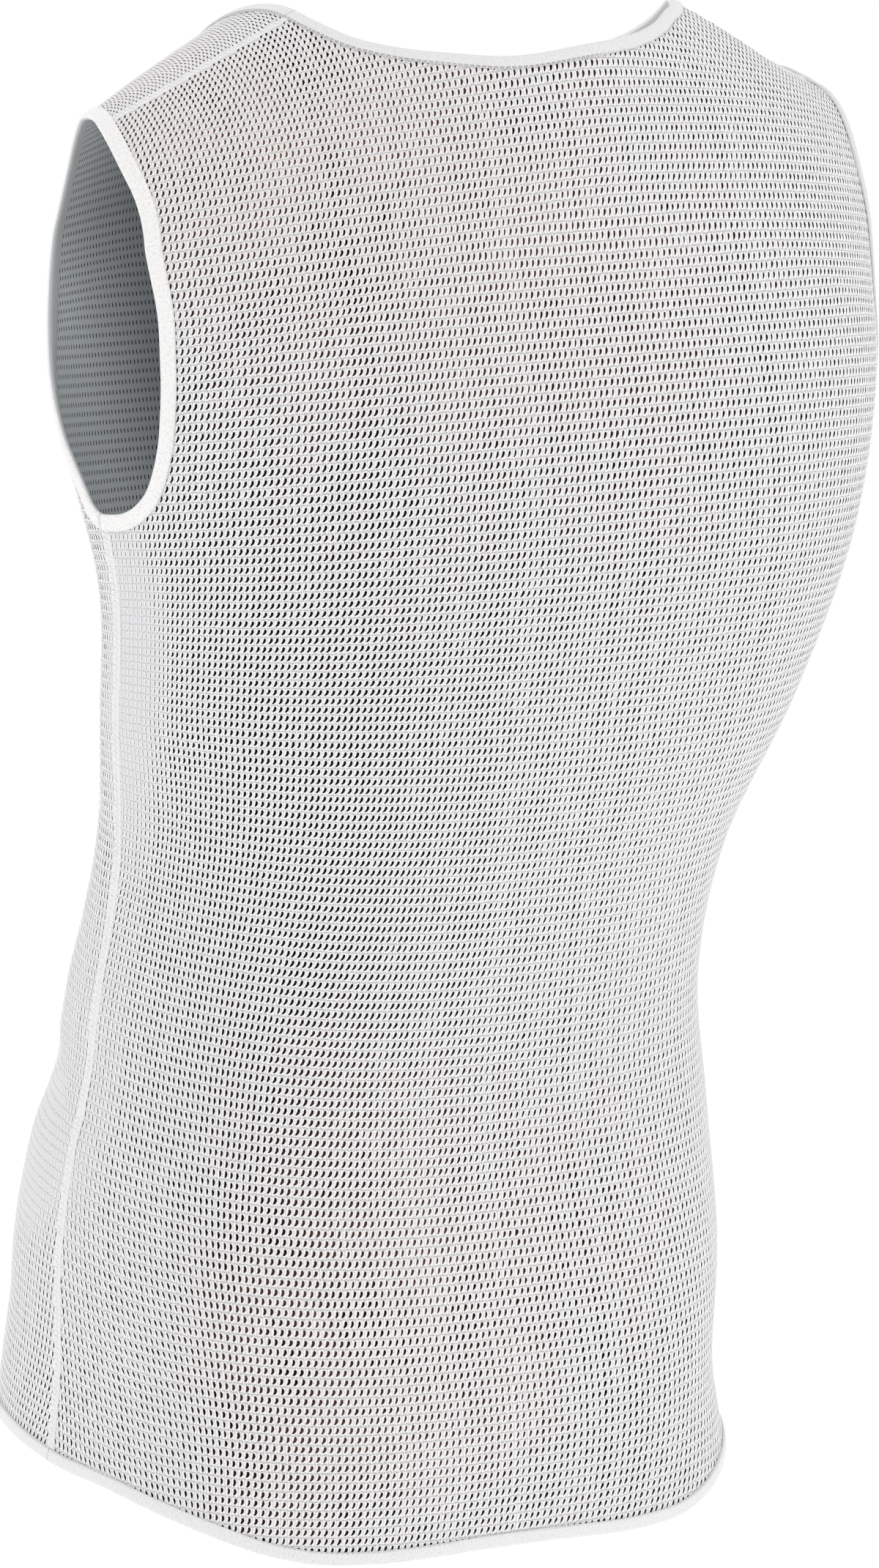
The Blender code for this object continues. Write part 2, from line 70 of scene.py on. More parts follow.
SECTION_COLUMNS = (  # after the height
    "half_width", "back_depth", "front_depth", "centre_y", "centre_x", "row_tilt",
)
SECTIONS = (
    (-0.69, 0.174, 0.1195, 0.1325, -0.053, 0.0175, -0.17),  # below the hem
    (-0.63, 0.168, 0.115, 0.1335, -0.049, 0.016, -0.189),
    (-0.57, 0.1605, 0.1115, 0.13, -0.048, 0.016, -0.208),
    (-0.51, 0.1605, 0.111, 0.115, -0.0455, 0.016, -0.224),  # hip
    (-0.45, 0.1525, 0.108, 0.096, -0.039, 0.0175, -0.236),
    (-0.39, 0.1445, 0.1065, 0.087, -0.0315, 0.019, -0.232),  # waist
    (-0.33, 0.1475, 0.1095, 0.0775, -0.02, 0.015, -0.188),
    (-0.27, 0.1655, 0.1195, 0.074, -0.0065, 0.0055, -0.103),
    (-0.21, 0.1805, 0.1265, 0.081, 0.003, -0.0035, -0.012),
    (-0.15, 0.1955, 0.1255, 0.0985, 0.0045, -0.004, 0.047),  # under the armholes
    (-0.1, 0.203, 0.1175, 0.111, 0.003, -0.0015, 0.04),
    (-0.05, 0.214, 0.1085, 0.1225, 0.002, 0.0, -0.023),  # shoulder blades
    (0.0, 0.214, 0.1085, 0.1225, 0.002, 0.0, -0.113),
)
TOP_SECTION, HEM_SECTION, WAIST = -0.05, -0.66, -0.4
ROUND_TOP = 2.0
ROUND_HEM = {Side.BACK: 2.69, Side.FRONT: 2.5}
LEAN_TOP, LEAN_HEM, LEAN_TOP_HEIGHT = -0.094, 0.008, 0.03
RIDGE_HEIGHT, RIDGE_Y, RIDGE_EASE = 0.075, -0.0024, 0.02
RIDGE_DROP, RIDGE_CURVE = 0.436, 0.124
TURN = {Side.BACK: 0.122, Side.FRONT: 0.0985}
TURN_RUN = 1.15
SEAM_BEHIND_RIDGE = 0.022
FALL_DEPTH, FALL_CREST_Y, FALL_REACH = 0.028, 0.032, 0.026  # right of the neck
FALL_END, FALL_SHARES, FALL_TURN = (0.085, 0.14), (-0.58, -0.37, -0.22, -0.02), 0.5
FALL_POWER = 1.5

ARMHOLE = {
    Side.BACK: (
        (1.0, -0.1785), (0.932, -0.1782), (0.888, -0.175), (0.85, -0.1695),
        (0.819, -0.1608), (0.795, -0.151), (0.77, -0.1346), (0.737, -0.1072),
        (0.699, -0.0764), (0.674, -0.0472), (0.671, -0.0199), (0.679, 0.0109),
        (0.676, 0.045),
    ),
    Side.FRONT: (
        (1.0, -0.1785), (0.97, -0.1755), (0.938, -0.165), (0.9, -0.1535),
        (0.85, -0.144), (0.8, -0.1315), (0.745, -0.119), (0.69, -0.106),
        (0.637, -0.092), (0.59, -0.078), (0.556, -0.064), (0.536, -0.049),
        (0.531, -0.033), (0.537, -0.017), (0.555, 0.0), (0.585, 0.02),
        (0.624, 0.042),
    ),
}
SHOULDER_SHARE, NECK_SHARE = 0.668, 0.289
RIGHT_REACH, REACH_FROM, REACH_TO = 0.03, -0.09, 0.03
NECK_LEFT = {
    Side.BACK: (
        (0.0, 0.0318), (0.1, 0.0312), (0.173, 0.04), (0.205, 0.0454),
        (0.24, 0.0544), (0.263, 0.0637), (0.28, 0.0785), (0.288, 0.0935),
    ),
    Side.FRONT: (
        (0.0, -0.055), (0.1, -0.05), (0.17, -0.0365), (0.22, -0.016),
        (0.252, 0.01), (0.272, 0.042), (0.284, 0.076),
    ),
}
NECK_RIGHT = {
    Side.BACK: (
        (0.0, 0.0318), (0.107, 0.0398), (0.168, 0.0504), (0.214, 0.0627),
        (0.243, 0.0705), (0.266, 0.08), (0.284, 0.095),
    ),
    Side.FRONT: NECK_LEFT[Side.FRONT],
}
HEM = {
    Side.BACK: (
        (0.0, -0.6175), (0.2, -0.6195), (0.32, -0.619), (0.43, -0.6155),
        (0.55, -0.61), (0.7, -0.6045), (0.85, -0.6015), (1.0, -0.6035),
    ),
    Side.FRONT: ((0.0, -0.602), (0.5, -0.603), (0.8, -0.6036), (1.0, -0.6035)),
}
SHARE_METRES = 0.245  # cloth round half a section
SEAM_GAP = 0.0003

# Folds: (around, height, half length, half width, depth, angle). around counts
# shares from the middle of the back over the left side seam (1) to the middle of
# the front (2). angle is from the row, in degrees; a depth below zero is a ridge.
FOLDS = (
    (1.18, -0.438, 0.062, 0.016, 0.0024, -6.0),  # crease above the left hip
    (1.18, -0.4, 0.06, 0.018, -0.001, -4.0),
    (1.2, -0.474, 0.06, 0.018, -0.0012, -6.0),
    (-1.18, -0.43, 0.06, 0.018, 0.002, 10.0),  # and above the right hip
    (-0.62, -0.572, 0.075, 0.024, 0.0014, -14.0),  # over the right hem
    (0.9, -0.24, 0.06, 0.014, 0.0013, 80.0),  # below the armholes
    (-0.9, -0.245, 0.058, 0.015, 0.0013, -78.0),
    (1.92, -0.325, 0.09, 0.026, 0.0022, 5.0),  # across the front
    (-1.58, -0.225, 0.07, 0.022, 0.0018, 32.0),
)
# Finer creases of the cloth itself, in the same columns.
CREASES = (
    (1.1, -0.454, 0.045, 0.007, 0.0012, -4.0),  # left hip
    (1.22, -0.424, 0.04, 0.008, -0.0008, -9.0),
    (1.45, -0.56, 0.05, 0.01, 0.0009, -12.0),
    (1.06, -0.33, 0.034, 0.009, 0.0009, 24.0),  # below the left armhole
    (0.8, -0.292, 0.05, 0.011, 0.0008, -58.0),
    (0.73, -0.212, 0.04, 0.009, 0.0006, -70.0),
    (-0.84, -0.3, 0.046, 0.01, 0.0009, 60.0),  # and below the right one
    (-1.09, -0.325, 0.038, 0.009, 0.0008, -22.0),
    (-1.12, -0.456, 0.042, 0.008, 0.0011, 6.0),  # right hip
    (-1.3, -0.405, 0.05, 0.01, 0.0009, -12.0),
    (-1.66, -0.545, 0.06, 0.012, 0.0009, 14.0),
    (0.3, -0.472, 0.06, 0.014, 0.0005, 5.0),  # hollow of the back
    (-0.2, -0.441, 0.055, 0.012, 0.0006, -7.0),
    (1.62, -0.365, 0.055, 0.011, 0.0012, 8.0),  # waist of the front
    (1.86, -0.396, 0.06, 0.01, 0.001, -7.0),
    (-1.74, -0.35, 0.05, 0.011, 0.001, -10.0),
    (-0.605, 0.0712, 0.034, 0.03, 0.004, 20.8),  # soft hollow over the right shoulder seam
    (-1.395, 0.0962, 0.034, 0.03, 0.004, -20.8),
)


def smooth(table: list | tuple, at: Array) -> Array:
    """Reads a table on one smooth curve.

    Args:
        table: (place, value) rows, in order of place.
        at: Places to read.

    Returns:
        The value at each place, held level beyond the ends.
    """
    place, value = np.array(table, float).T
    slope = np.gradient(value, place)
    at = np.clip(at, place[0], place[-1])
    i = np.clip(np.searchsorted(place, at) - 1, 0, len(place) - 2)
    span = place[i + 1] - place[i]
    t = (at - place[i]) / span
    start = (1 + 2 * t) * (1 - t) ** 2 * value[i] + t * (1 - t) ** 2 * span * slope[i]
    end = t * t * (3 - 2 * t) * value[i + 1] + t * t * (t - 1) * span * slope[i + 1]
    return start + end


def eased(value: Array, low: float, high: float) -> Array:
    """A soft step from 0 at low to 1 at high."""
    t = np.clip((np.asarray(value, float) - low) / (high - low), 0.0, 1.0)
    return t * t * (3 - 2 * t)


def unit(vectors: Array) -> Array:
    """The vectors at length one."""
    return vectors / np.linalg.norm(vectors, axis=-1, keepdims=True)


def run_of(line: Array) -> Array:
    """The run along a line of points, at each of them."""
    return np.r_[0, np.cumsum(np.linalg.norm(np.diff(line, axis=0), axis=1))]


def read_line(at: Array, run: Array, line: Array) -> Array:
    """What a line has at places of its run."""
    return np.stack([np.interp(at, run, column) for column in line.T], axis=-1)


def by_side(back: Array, sizes: dict[Side, float]) -> Array:
    """The back's or the front's size at each place."""
    return np.where(back, sizes[Side.BACK], sizes[Side.FRONT])


def signed_power(value: Array, power: Array) -> Array:
    """A power that keeps the sign."""
    return np.sign(value) * np.abs(value) ** power


@dataclass
class WornForm:
    """The shape of a panel as worn: sections at each height, turned over at the shoulder."""

    side: Side
    table_step: float = 0.0005
    slope_step: float = 0.001
    heights: Array = field(init=False)
    columns: dict = field(init=False)

    def __post_init__(self) -> None:
        """Reads the sections once, as dense tables."""
        rows = np.array(SECTIONS)
        self.heights = np.arange(rows[0, 0], rows[-1, 0] + self.table_step, self.table_step)
        self.columns = {
            name: smooth(rows[:, (0, k)], self.heights)
            for k, name in enumerate(SECTION_COLUMNS, 1)
        }

    def section(self, column: str, height: Array) -> Array:
        """One size of the section at each height."""
        return np.interp(height, self.heights, self.columns[column])

    def from_place(self, share: Array, place: float) -> Array:
        """Shares from a place that is counted all round the garment, as in FOLDS."""
        around = share if self.side is Side.BACK else np.where(share > 0, 2.0, -2.0) - share
        return (around - place + 2.0) % 4.0 - 2.0

    def ridge(self, x: Array) -> Array:
        """Height of the shoulder ridge at a distance from the middle."""
        out = np.hypot(x, RIDGE_EASE)
        return RIDGE_HEIGHT - RIDGE_DROP * out - RIDGE_CURVE * out * out

    def outline(self, back: Array, share: Array, height: Array) -> Pair:
        """Where a place lies across its section.

        Args:
            back: True where the place is on the back.
            share: Shares of the half section.
            height: Row runs.

        Returns:
            The distance from the middle, and the share of the section's depth.
        """
        low = np.minimum(height, TOP_SECTION)
        hem_round = by_side(back, ROUND_HEM)
        up = np.clip((low - HEM_SECTION) / (TOP_SECTION - HEM_SECTION), 0, 1)
        power = 2 / (hem_round + (ROUND_TOP - hem_round) * up)
        turn = math.pi / 2 * share
        across, depth = (signed_power(part, power) for part in (np.sin(turn), np.cos(turn)))
        return self.section("half_width", low) * across, depth

    def ridge_run(self, back: Array, share: Array) -> Array:
        """Row run at which a column of the cloth reaches the ridge.

        Args:
            back: True where the column is on the back.
            share: Shares of the half section.

        Returns:
            The row run of each column.
        """
        turn = by_side(back, TURN)
        ridge = self.ridge(self.outline(back, share, TOP_SECTION)[0])
        return ridge - turn + turn * TURN_RUN * math.pi / 2

    def fall(self, share: Array, angle: Array, y: Array) -> Array:
        """How far the cloth falls away to the front, right of the neck.

        Args:
            share: Shares of the half section.
            angle: Turn of the shoulder, in radians.
            y: Places along Y.

        Returns:
            The fall at each place.
        """
        across = eased(share, *FALL_SHARES[:2]) * (1 - eased(share, *FALL_SHARES[2:]))
        forward = np.maximum(FALL_CREST_Y - y, 0)
        down = 1 - np.exp(-((forward / FALL_REACH) ** FALL_POWER))
        down = down * (1 - eased(forward, *FALL_END))
        return FALL_DEPTH * across * down * eased(angle, 0.0, FALL_TURN)

    def plain(self, share: Array, height: Array) -> Array:
        """Points of the form without its folds. A column may run on over the ridge.

        Args:
            share: Shares of the half section.
            height: Row runs.

        Returns:
            One point for each place.
        """
        share, height = np.broadcast_arrays(np.float64(share), np.float64(height))
        back = np.full(share.shape, self.side is Side.BACK)
        past = height - self.ridge_run(back, share)
        height = np.where(past > 0, self.ridge_run(~back, share) - past, height)
        back = np.where(past > 0, ~back, back)
        x, depth_share = self.outline(back, share, height)
        turn = by_side(back, TURN)
        start = self.ridge(x) - turn
        angle = np.clip((height - start) / (turn * TURN_RUN), 0.0, math.pi / 2)
        z = np.where(height > start, start + turn * np.sin(angle), height)
        low = np.minimum(height, TOP_SECTION)
        size = {name: self.section(name, low) for name in SECTION_COLUMNS[1:5]}
        depth = np.where(back, size["back_depth"], -size["front_depth"])
        y = size["centre_y"] + depth * depth_share * np.cos(angle)
        y = y + (RIDGE_Y - size["centre_y"]) * (1 - np.cos(angle))
        z = z - self.fall(share, angle, y)
        lean = np.interp(z, (HEM_SECTION, LEAN_TOP_HEIGHT), (LEAN_HEM, LEAN_TOP))
        z = z + lean * x + self.section("row_tilt", z) * y
        return np.stack([x + size["centre_x"], y, z], axis=-1)

    def slopes(self, share: Array, height: Array) -> list[Array]:
        """Change of the point with share and with height.

        Args:
            share: Shares of the half section.
            height: Row runs.

        Returns:
            The change for one share, then that for a metre of row run.
        """
        step = self.slope_step
        return [
            (self.plain(share + a, height + b) - self.plain(share - a, height - b)) / (2 * step)
            for a, b in ((step, 0), (0, step))
        ]

    def normal(self, share: Array, height: Array) -> Array:
        """Unit normals, out of the garment."""
        return unit(np.cross(*self.slopes(share, height)) * -self.side.value)

    def fold_depth(self, share: Array, height: Array) -> Array:
        """How far the folds and creases press the cloth in.

        Args:
            share: Shares of the half section.
            height: Row runs.

        Returns:
            The depth at each place.
        """
        depth = np.zeros(np.shape(share))
        for place, at_height, half_length, half_width, fold, degrees in FOLDS + CREASES:
            across = self.from_place(share, place) * SHARE_METRES
            upward = height - at_height
            turn = math.radians(degrees)
            along = across * math.cos(turn) + upward * math.sin(turn)
            off = upward * math.cos(turn) - across * math.sin(turn)
            depth += fold * np.exp(-((along / half_length) ** 2) - (off / half_width) ** 2)
        return depth

    def cloth(self, share: Array, height: Array) -> Pair:
        """The cloth's middle surface, with its folds.

        Args:
            share: Shares of the half section.
            height: Row runs.

        Returns:
            Points, and the form's outward normals there.
        """
        share, height = np.broadcast_arrays(np.float64(share), np.float64(height))
        normal = self.normal(share, height)
        inward = normal * self.fold_depth(share, height)[..., None]
        return self.plain(share, height) - inward, normal

    def top(self, share: Array) -> Array:
        """Row run of the panel's shoulder edge, which lies behind the ridge."""
        back = np.full(np.shape(share), self.side is Side.BACK)
        return self.ridge_run(back, share) - self.side.value * SEAM_BEHIND_RIDGE


# --- The cut edges


@dataclass
class Outline:
    """The cut edges of one panel, each a curve of (share, height)."""

    form: WornForm
    samples: int = 600
    past_seam: float = 0.06
    past_top: float = 0.02
    far_off: float = 0.4
    edges: dict[str, Array] = field(init=False)

    def __post_init__(self) -> None:
        """Draws every edge of the panel."""
        side, top = self.form.side, self.form.top
        hem = HEM[side]
        shares = np.linspace(SHOULDER_SHARE, NECK_SHARE, self.samples)
        arm_end, neck_end = ((at, float(top(at))) for at in (SHOULDER_SHARE, NECK_SHARE))
        left = {
            "side": self.drawn([(1.0, hem[-1][1]), (1.0, WAIST), ARMHOLE[side][0]]),
            "armhole": self.drawn([*ARMHOLE[side], arm_end]),
            "shoulder": np.stack([shares, top(shares)], axis=1),
        }
        neck = [(-neck_end[0], neck_end[1]), *self.flipped(NECK_RIGHT[side])[:-1]]
        neck = [*neck, *NECK_LEFT[side], neck_end][::-1]
        self.edges = {
            "hem": self.drawn([*self.flipped(hem), *hem[1:]]),
            "neck": self.drawn(neck),
        }
        for name, edge in left.items():
            self.edges[f"{name}_left"] = edge
            self.edges[f"{name}_right"] = self.mirrored(edge, name == "shoulder")

    def flipped(self, points: tuple) -> list:
        """A table's points on the wearer's right, in turned order."""
        return [(-share, height) for share, height in points[::-1]]

    def drawn(self, points: list) -> Array:
        """The smooth curve through (share, height) points, held at the panel's seams.

        Args:
            points: The points, in order.

        Returns:
            The curve, as many places as there are samples.
        """
        points = np.array(points, float)
        steps = np.hypot(np.diff(points[:, 0]) * SHARE_METRES, np.diff(points[:, 1]))
        chord = np.r_[0, np.cumsum(steps)]
        at = np.linspace(0, chord[-1], self.samples)
        curve = np.stack([smooth(np.c_[chord, values], at) for values in points.T], axis=1)
        curve[:, 0] = np.clip(curve[:, 0], -1.0, 1.0)
        curve[:, 1] = np.minimum(curve[:, 1], self.form.top(curve[:, 0]))
        return curve

    def mirrored(self, edge: Array, at_shoulder: bool) -> Array:
        """The edge on the wearer's right, whose shoulder lies further out.

        Args:
            edge: The left edge.
            at_shoulder: True for the shoulder seam itself.

        Returns:
            The right edge, still in order round the panel.
        """
        share, height = edge.T
        level = 1.0 if at_shoulder else eased(height, REACH_FROM, REACH_TO)
        outward = np.clip((share - NECK_SHARE) / (SHOULDER_SHARE - NECK_SHARE), 0, 1)
        further = share + RIGHT_REACH * outward * level
        drop = self.form.top(further) - self.form.top(share)
        return np.stack([-further, height + drop * level], axis=1)[::-1]

    def bound(self) -> tuple[Array, KDTree]:
        """Joins the bound edges into a loop, run on past the seams.

        Returns:
            The loop of (share, height), and a tree of the edges' points on the form.
        """
        names = ("hem", "armhole_left", "neck", "armhole_right")
        loop, points = [], []
        for name, following in zip(names, (*names[1:], "hem")):
            edge = self.edges[name]
            points.append(self.form.plain(*edge.T))
            share, height = edge[-1]
            if way := {"hem": 1, "armhole_right": -1}.get(name):
                out = share + way * self.past_seam
                past = [(out, height), (out, height + way * self.far_off)]
            else:
                up = (0, self.past_top)
                past = [edge[-1] + up, self.edges[following][0] + up]
            loop += [edge, np.array(past)]
        points = np.concatenate(points)
        tree = KDTree(len(points))
        for k, point in enumerate(points):
            tree.insert(point, k)
        tree.balance()
        return np.concatenate(loop), tree


def inside(loop: Array, places: Array) -> Array:
    """Which places lie inside a closed loop, by the even-odd rule.

    Args:
        loop: The loop, as points of two numbers.
        places: The places to test.

    Returns:
        True for each place inside.
    """
    found = np.zeros(len(places), bool)
    for (ax, ay), (bx, by) in zip(loop, np.roll(loop, -1, axis=0)):
        if ay != by:
            level = (ay > places[:, 1]) != (by > places[:, 1])
            crossing = ax + (places[:, 1] - ay) / (by - ay) * (bx - ax)
            found ^= level & (crossing > places[:, 0])
    return found


# --- The knit's gauge


@dataclass
class Gauge:
    """Where a panel's wales (columns) and courses (rows) of loops lie on the form.

    Courses lie at even runs of a middle column, wales at even runs from the middle
    along each row, as on knitted cloth that is cut to shape. Every table has rows of
    (height, value), and the spreads of (share, value).
    """

    form: WornForm
    reference_share: float = 0.25
    course: tuple = (
        (-0.63, 0.0035), (-0.6, 0.0038), (-0.55, 0.0041), (-0.5, 0.00425),
        (-0.42, 0.00424), (-0.35, 0.00423), (-0.31, 0.0042), (-0.28, 0.0041),
        (-0.24, 0.00389), (-0.18, 0.0042), (-0.1, 0.00433), (0.0, 0.00432), (0.12, 0.00432),
    )
    wale: tuple = (
        (-0.62, 0.00305), (-0.56, 0.00318), (-0.5, 0.00315), (-0.44, 0.00293),
        (-0.38, 0.00278), (-0.32, 0.0027), (-0.26, 0.00282), (-0.18, 0.0029),
        (-0.1, 0.00275), (0.12, 0.00272),
    )
    # The wales' spread by share, above and below the waist, and the wales by which the
    # back's middle column drifts on its way down.
    spread_above: tuple = (
        (-1.15, 1.1), (-0.6, 1.22), (-0.25, 1.28), (-0.1, 1.15), (0.0, 1.09), (0.1, 1.0),
        (0.2, 0.95), (0.3, 0.925), (0.5, 0.94), (0.7, 0.94), (1.15, 0.95),
    )
    spread_below: tuple = (
        (-1.15, 1.1), (-0.6, 1.2), (-0.25, 1.24), (-0.1, 1.12), (0.0, 1.06), (0.1, 1.02),
        (0.2, 0.99), (0.3, 0.98), (0.43, 0.96), (0.56, 0.85), (0.73, 0.85), (0.9, 1.02),
        (1.15, 1.08),
    )
    spread_turn: tuple = (-0.44, -0.26)
    drift: tuple = (
        (-0.63, 18.0), (-0.57, 20.0), (-0.53, 18.6), (-0.495, 16.3), (-0.46, 14.0),
        (-0.42, 12.8), (-0.385, 12.3), (-0.355, 11.2), (-0.32, 8.9), (-0.285, 5.6),
        (-0.255, 2.9), (-0.225, 0.9), (-0.195, 0.0), (0.15, 0.0),
    )
    low: float = -0.645
    high: float = 0.150
    most_share: float = 1.12
    run_samples: int = 1600
    share_samples: int = 561
    courses: int = field(init=False)
    wales: int = field(init=False)
    heights: Array = field(init=False)
    shares: Array = field(init=False)

    def __post_init__(self) -> None:
        """Measures the form's rows and columns once."""
        run = np.linspace(self.low, self.high, self.run_samples)
        column = self.form.plain(self.reference_share, run)
        step = np.linalg.norm(np.diff(column, axis=0), axis=1)
        count = np.r_[0, np.cumsum(step / smooth(self.course, (run[1:] + run[:-1]) / 2))]
        self.courses = int(count[-1])
        self.heights = np.interp(np.arange(2 * self.courses + 1) / 2, count, run)
        shares = np.linspace(-self.most_share, self.most_share, self.share_samples)
        rows = self.form.plain(shares[None, :], self.heights[:, None])
        steps = np.linalg.norm(np.diff(rows, axis=1), axis=2)
        between = (shares[1:] + shares[:-1]) / 2
        below, above = smooth(self.spread_below, between), smooth(self.spread_above, between)
        steps /= below + (above - below) * eased(self.heights, *self.spread_turn)[:, None]
        along = np.concatenate([np.zeros((len(rows), 1)), np.cumsum(steps, axis=1)], axis=1)
        along -= along[:, [len(shares) // 2]]
        number = along / smooth(self.wale, self.heights)[:, None]
        if self.form.side is Side.BACK:
            number += smooth(self.drift, self.heights)[:, None]
        self.wales = int(max(number[:, -1].max(), -number[:, 0].min())) + 2
        nodes = np.arange(-2 * self.wales, 2 * self.wales + 1) / 2
        self.shares = np.stack([np.interp(nodes, row, shares) for row in number])

    def place(self, wale: Array, course: Array) -> Pair:
        """Finds places of the lattice on the form.

        Args:
            wale: Columns counted from the middle, whole or in parts.
            course: Rows counted from the bottom, whole or in parts.

        Returns:
            The shares and the heights.
        """
        row = np.clip(np.float64(course) * 2, 0, len(self.shares) - 1.001)
        column = np.clip((wale + self.wales) * 2.0, 0, self.shares.shape[1] - 1.001)
        r, c = row.astype(int), column.astype(int)
        up, on = row - r, column - c
        below, above = (
            self.shares[k, c] * (1 - on) + self.shares[k, c + 1] * on for k in (r, r + 1)
        )
        return below * (1 - up) + above * up, self.heights[r] * (1 - up) + self.heights[r + 1] * up


# --- Meshes


def ring_quads(near: Array, far: Array) -> list[Array]:
    """Faces between rings of points.

    Args:
        near: A row of point numbers for each ring, in order round it.
        far: The same for the ring that it is joined to.

    Returns:
        For each side of the rings, its faces.
    """
    near_next, far_next = np.roll(near, -1, axis=1), np.roll(far, -1, axis=1)
    return [
        np.stack([ring[:, k] for ring in (near, near_next, far_next, far)], axis=1)
        for k in range(near.shape[1])
    ]


@dataclass
class Shell:
    """Points and faces on their way to becoming a piece."""

    points: Array
    faces: list[Array]
    uv: Array
    attributes: dict[str, Array] = field(default_factory=dict)
    slots: tuple = (0, 0, 0)

    def normals(self) -> Array:
        """Unit normals of the points, from the faces around them."""
        total = np.zeros_like(self.points)
        for faces in self.faces:
            ring = self.points[faces]
            area = np.zeros((len(faces), 3))
            for k in range(1, faces.shape[1] - 1):
                area += np.cross(ring[:, k] - ring[:, 0], ring[:, k + 1] - ring[:, 0])
            for k in range(faces.shape[1]):
                np.add.at(total, faces[:, k], area)
        return total / np.maximum(np.linalg.norm(total, axis=1, keepdims=True), 1e-12)

    def part(self, keep: list[Array]) -> tuple["Shell", Array]:
        """Some of the faces, with the points they use.

        Args:
            keep: For each array of faces, which to take.

        Returns:
            The smaller shell, and the indices of its points in this one.
        """
        faces = [array[mask] for array, mask in zip(self.faces, keep)]
        used = np.unique(np.concatenate([array.ravel() for array in faces]))
        index = np.full(len(self.points), -1)
        index[used] = np.arange(len(used))
        attributes = {name: values[used] for name, values in self.attributes.items()}
        faces = [index[array] for array in faces]
        return Shell(self.points[used], faces, self.uv[used], attributes), used

    def piece(self, name: str, materials: list, normals: Array | None = None) -> Piece:
        """Makes the object.

        Args:
            name: The piece's name.
            materials: Its materials, in slot order.
            normals: Normals of the points, where the mesh goes on in another piece.

        Returns:
            The new object, smooth shaded.
        """
        mesh = bpy.data.meshes.new(name)
        loops = np.concatenate([array.ravel() for array in self.faces]).astype(np.int32)
        sizes = np.concatenate([np.full(len(array), array.shape[1]) for array in self.faces])
        slots = [np.full(len(array), slot) for array, slot in zip(self.faces, self.slots)]
        mesh.vertices.add(len(self.points))
        mesh.loops.add(len(loops))
        mesh.polygons.add(len(sizes))
        for items, title, values in (
            (mesh.vertices, "co", self.points.astype(np.float32).ravel()),
            (mesh.loops, "vertex_index", loops),
            (mesh.polygons, "loop_start", np.r_[0, np.cumsum(sizes)[:-1]].astype(np.int32)),
            (mesh.polygons, "use_smooth", np.ones(len(sizes), bool)),
            (mesh.polygons, "material_index", np.concatenate(slots).astype(np.int32)),
        ):
            items.foreach_set(title, values)
        mesh.update(calc_edges=True)
        layer = mesh.uv_layers.new(name="gauge")
        layer.data.foreach_set("uv", self.uv[loops].astype(np.float32).ravel())
        for title, values in self.attributes.items():
            made = mesh.attributes.new(title, "FLOAT", "POINT")
            made.data.foreach_set("value", values.astype(np.float32))
        for material in materials:
            mesh.materials.append(material)
        mesh.validate()
        if normals is not None:
            mesh.normals_split_custom_set_from_vertices([tuple(n) for n in normals])
        made = bpy.data.objects.new(name, mesh)
        bpy.context.scene.collection.objects.link(made)
        return made


def riding(piece: Piece, node: str) -> Piece:
    """Hangs a piece on the body and hides the solid that it stands for.

    Args:
        piece: The piece.
        node: The solid that it stands for.

    Returns:
        The same piece.
    """
    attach(piece, BODY)
    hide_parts(node)
    LOG.info("%s: %d faces", piece.name, len(piece.data.polygons))
    return piece


# --- The knit


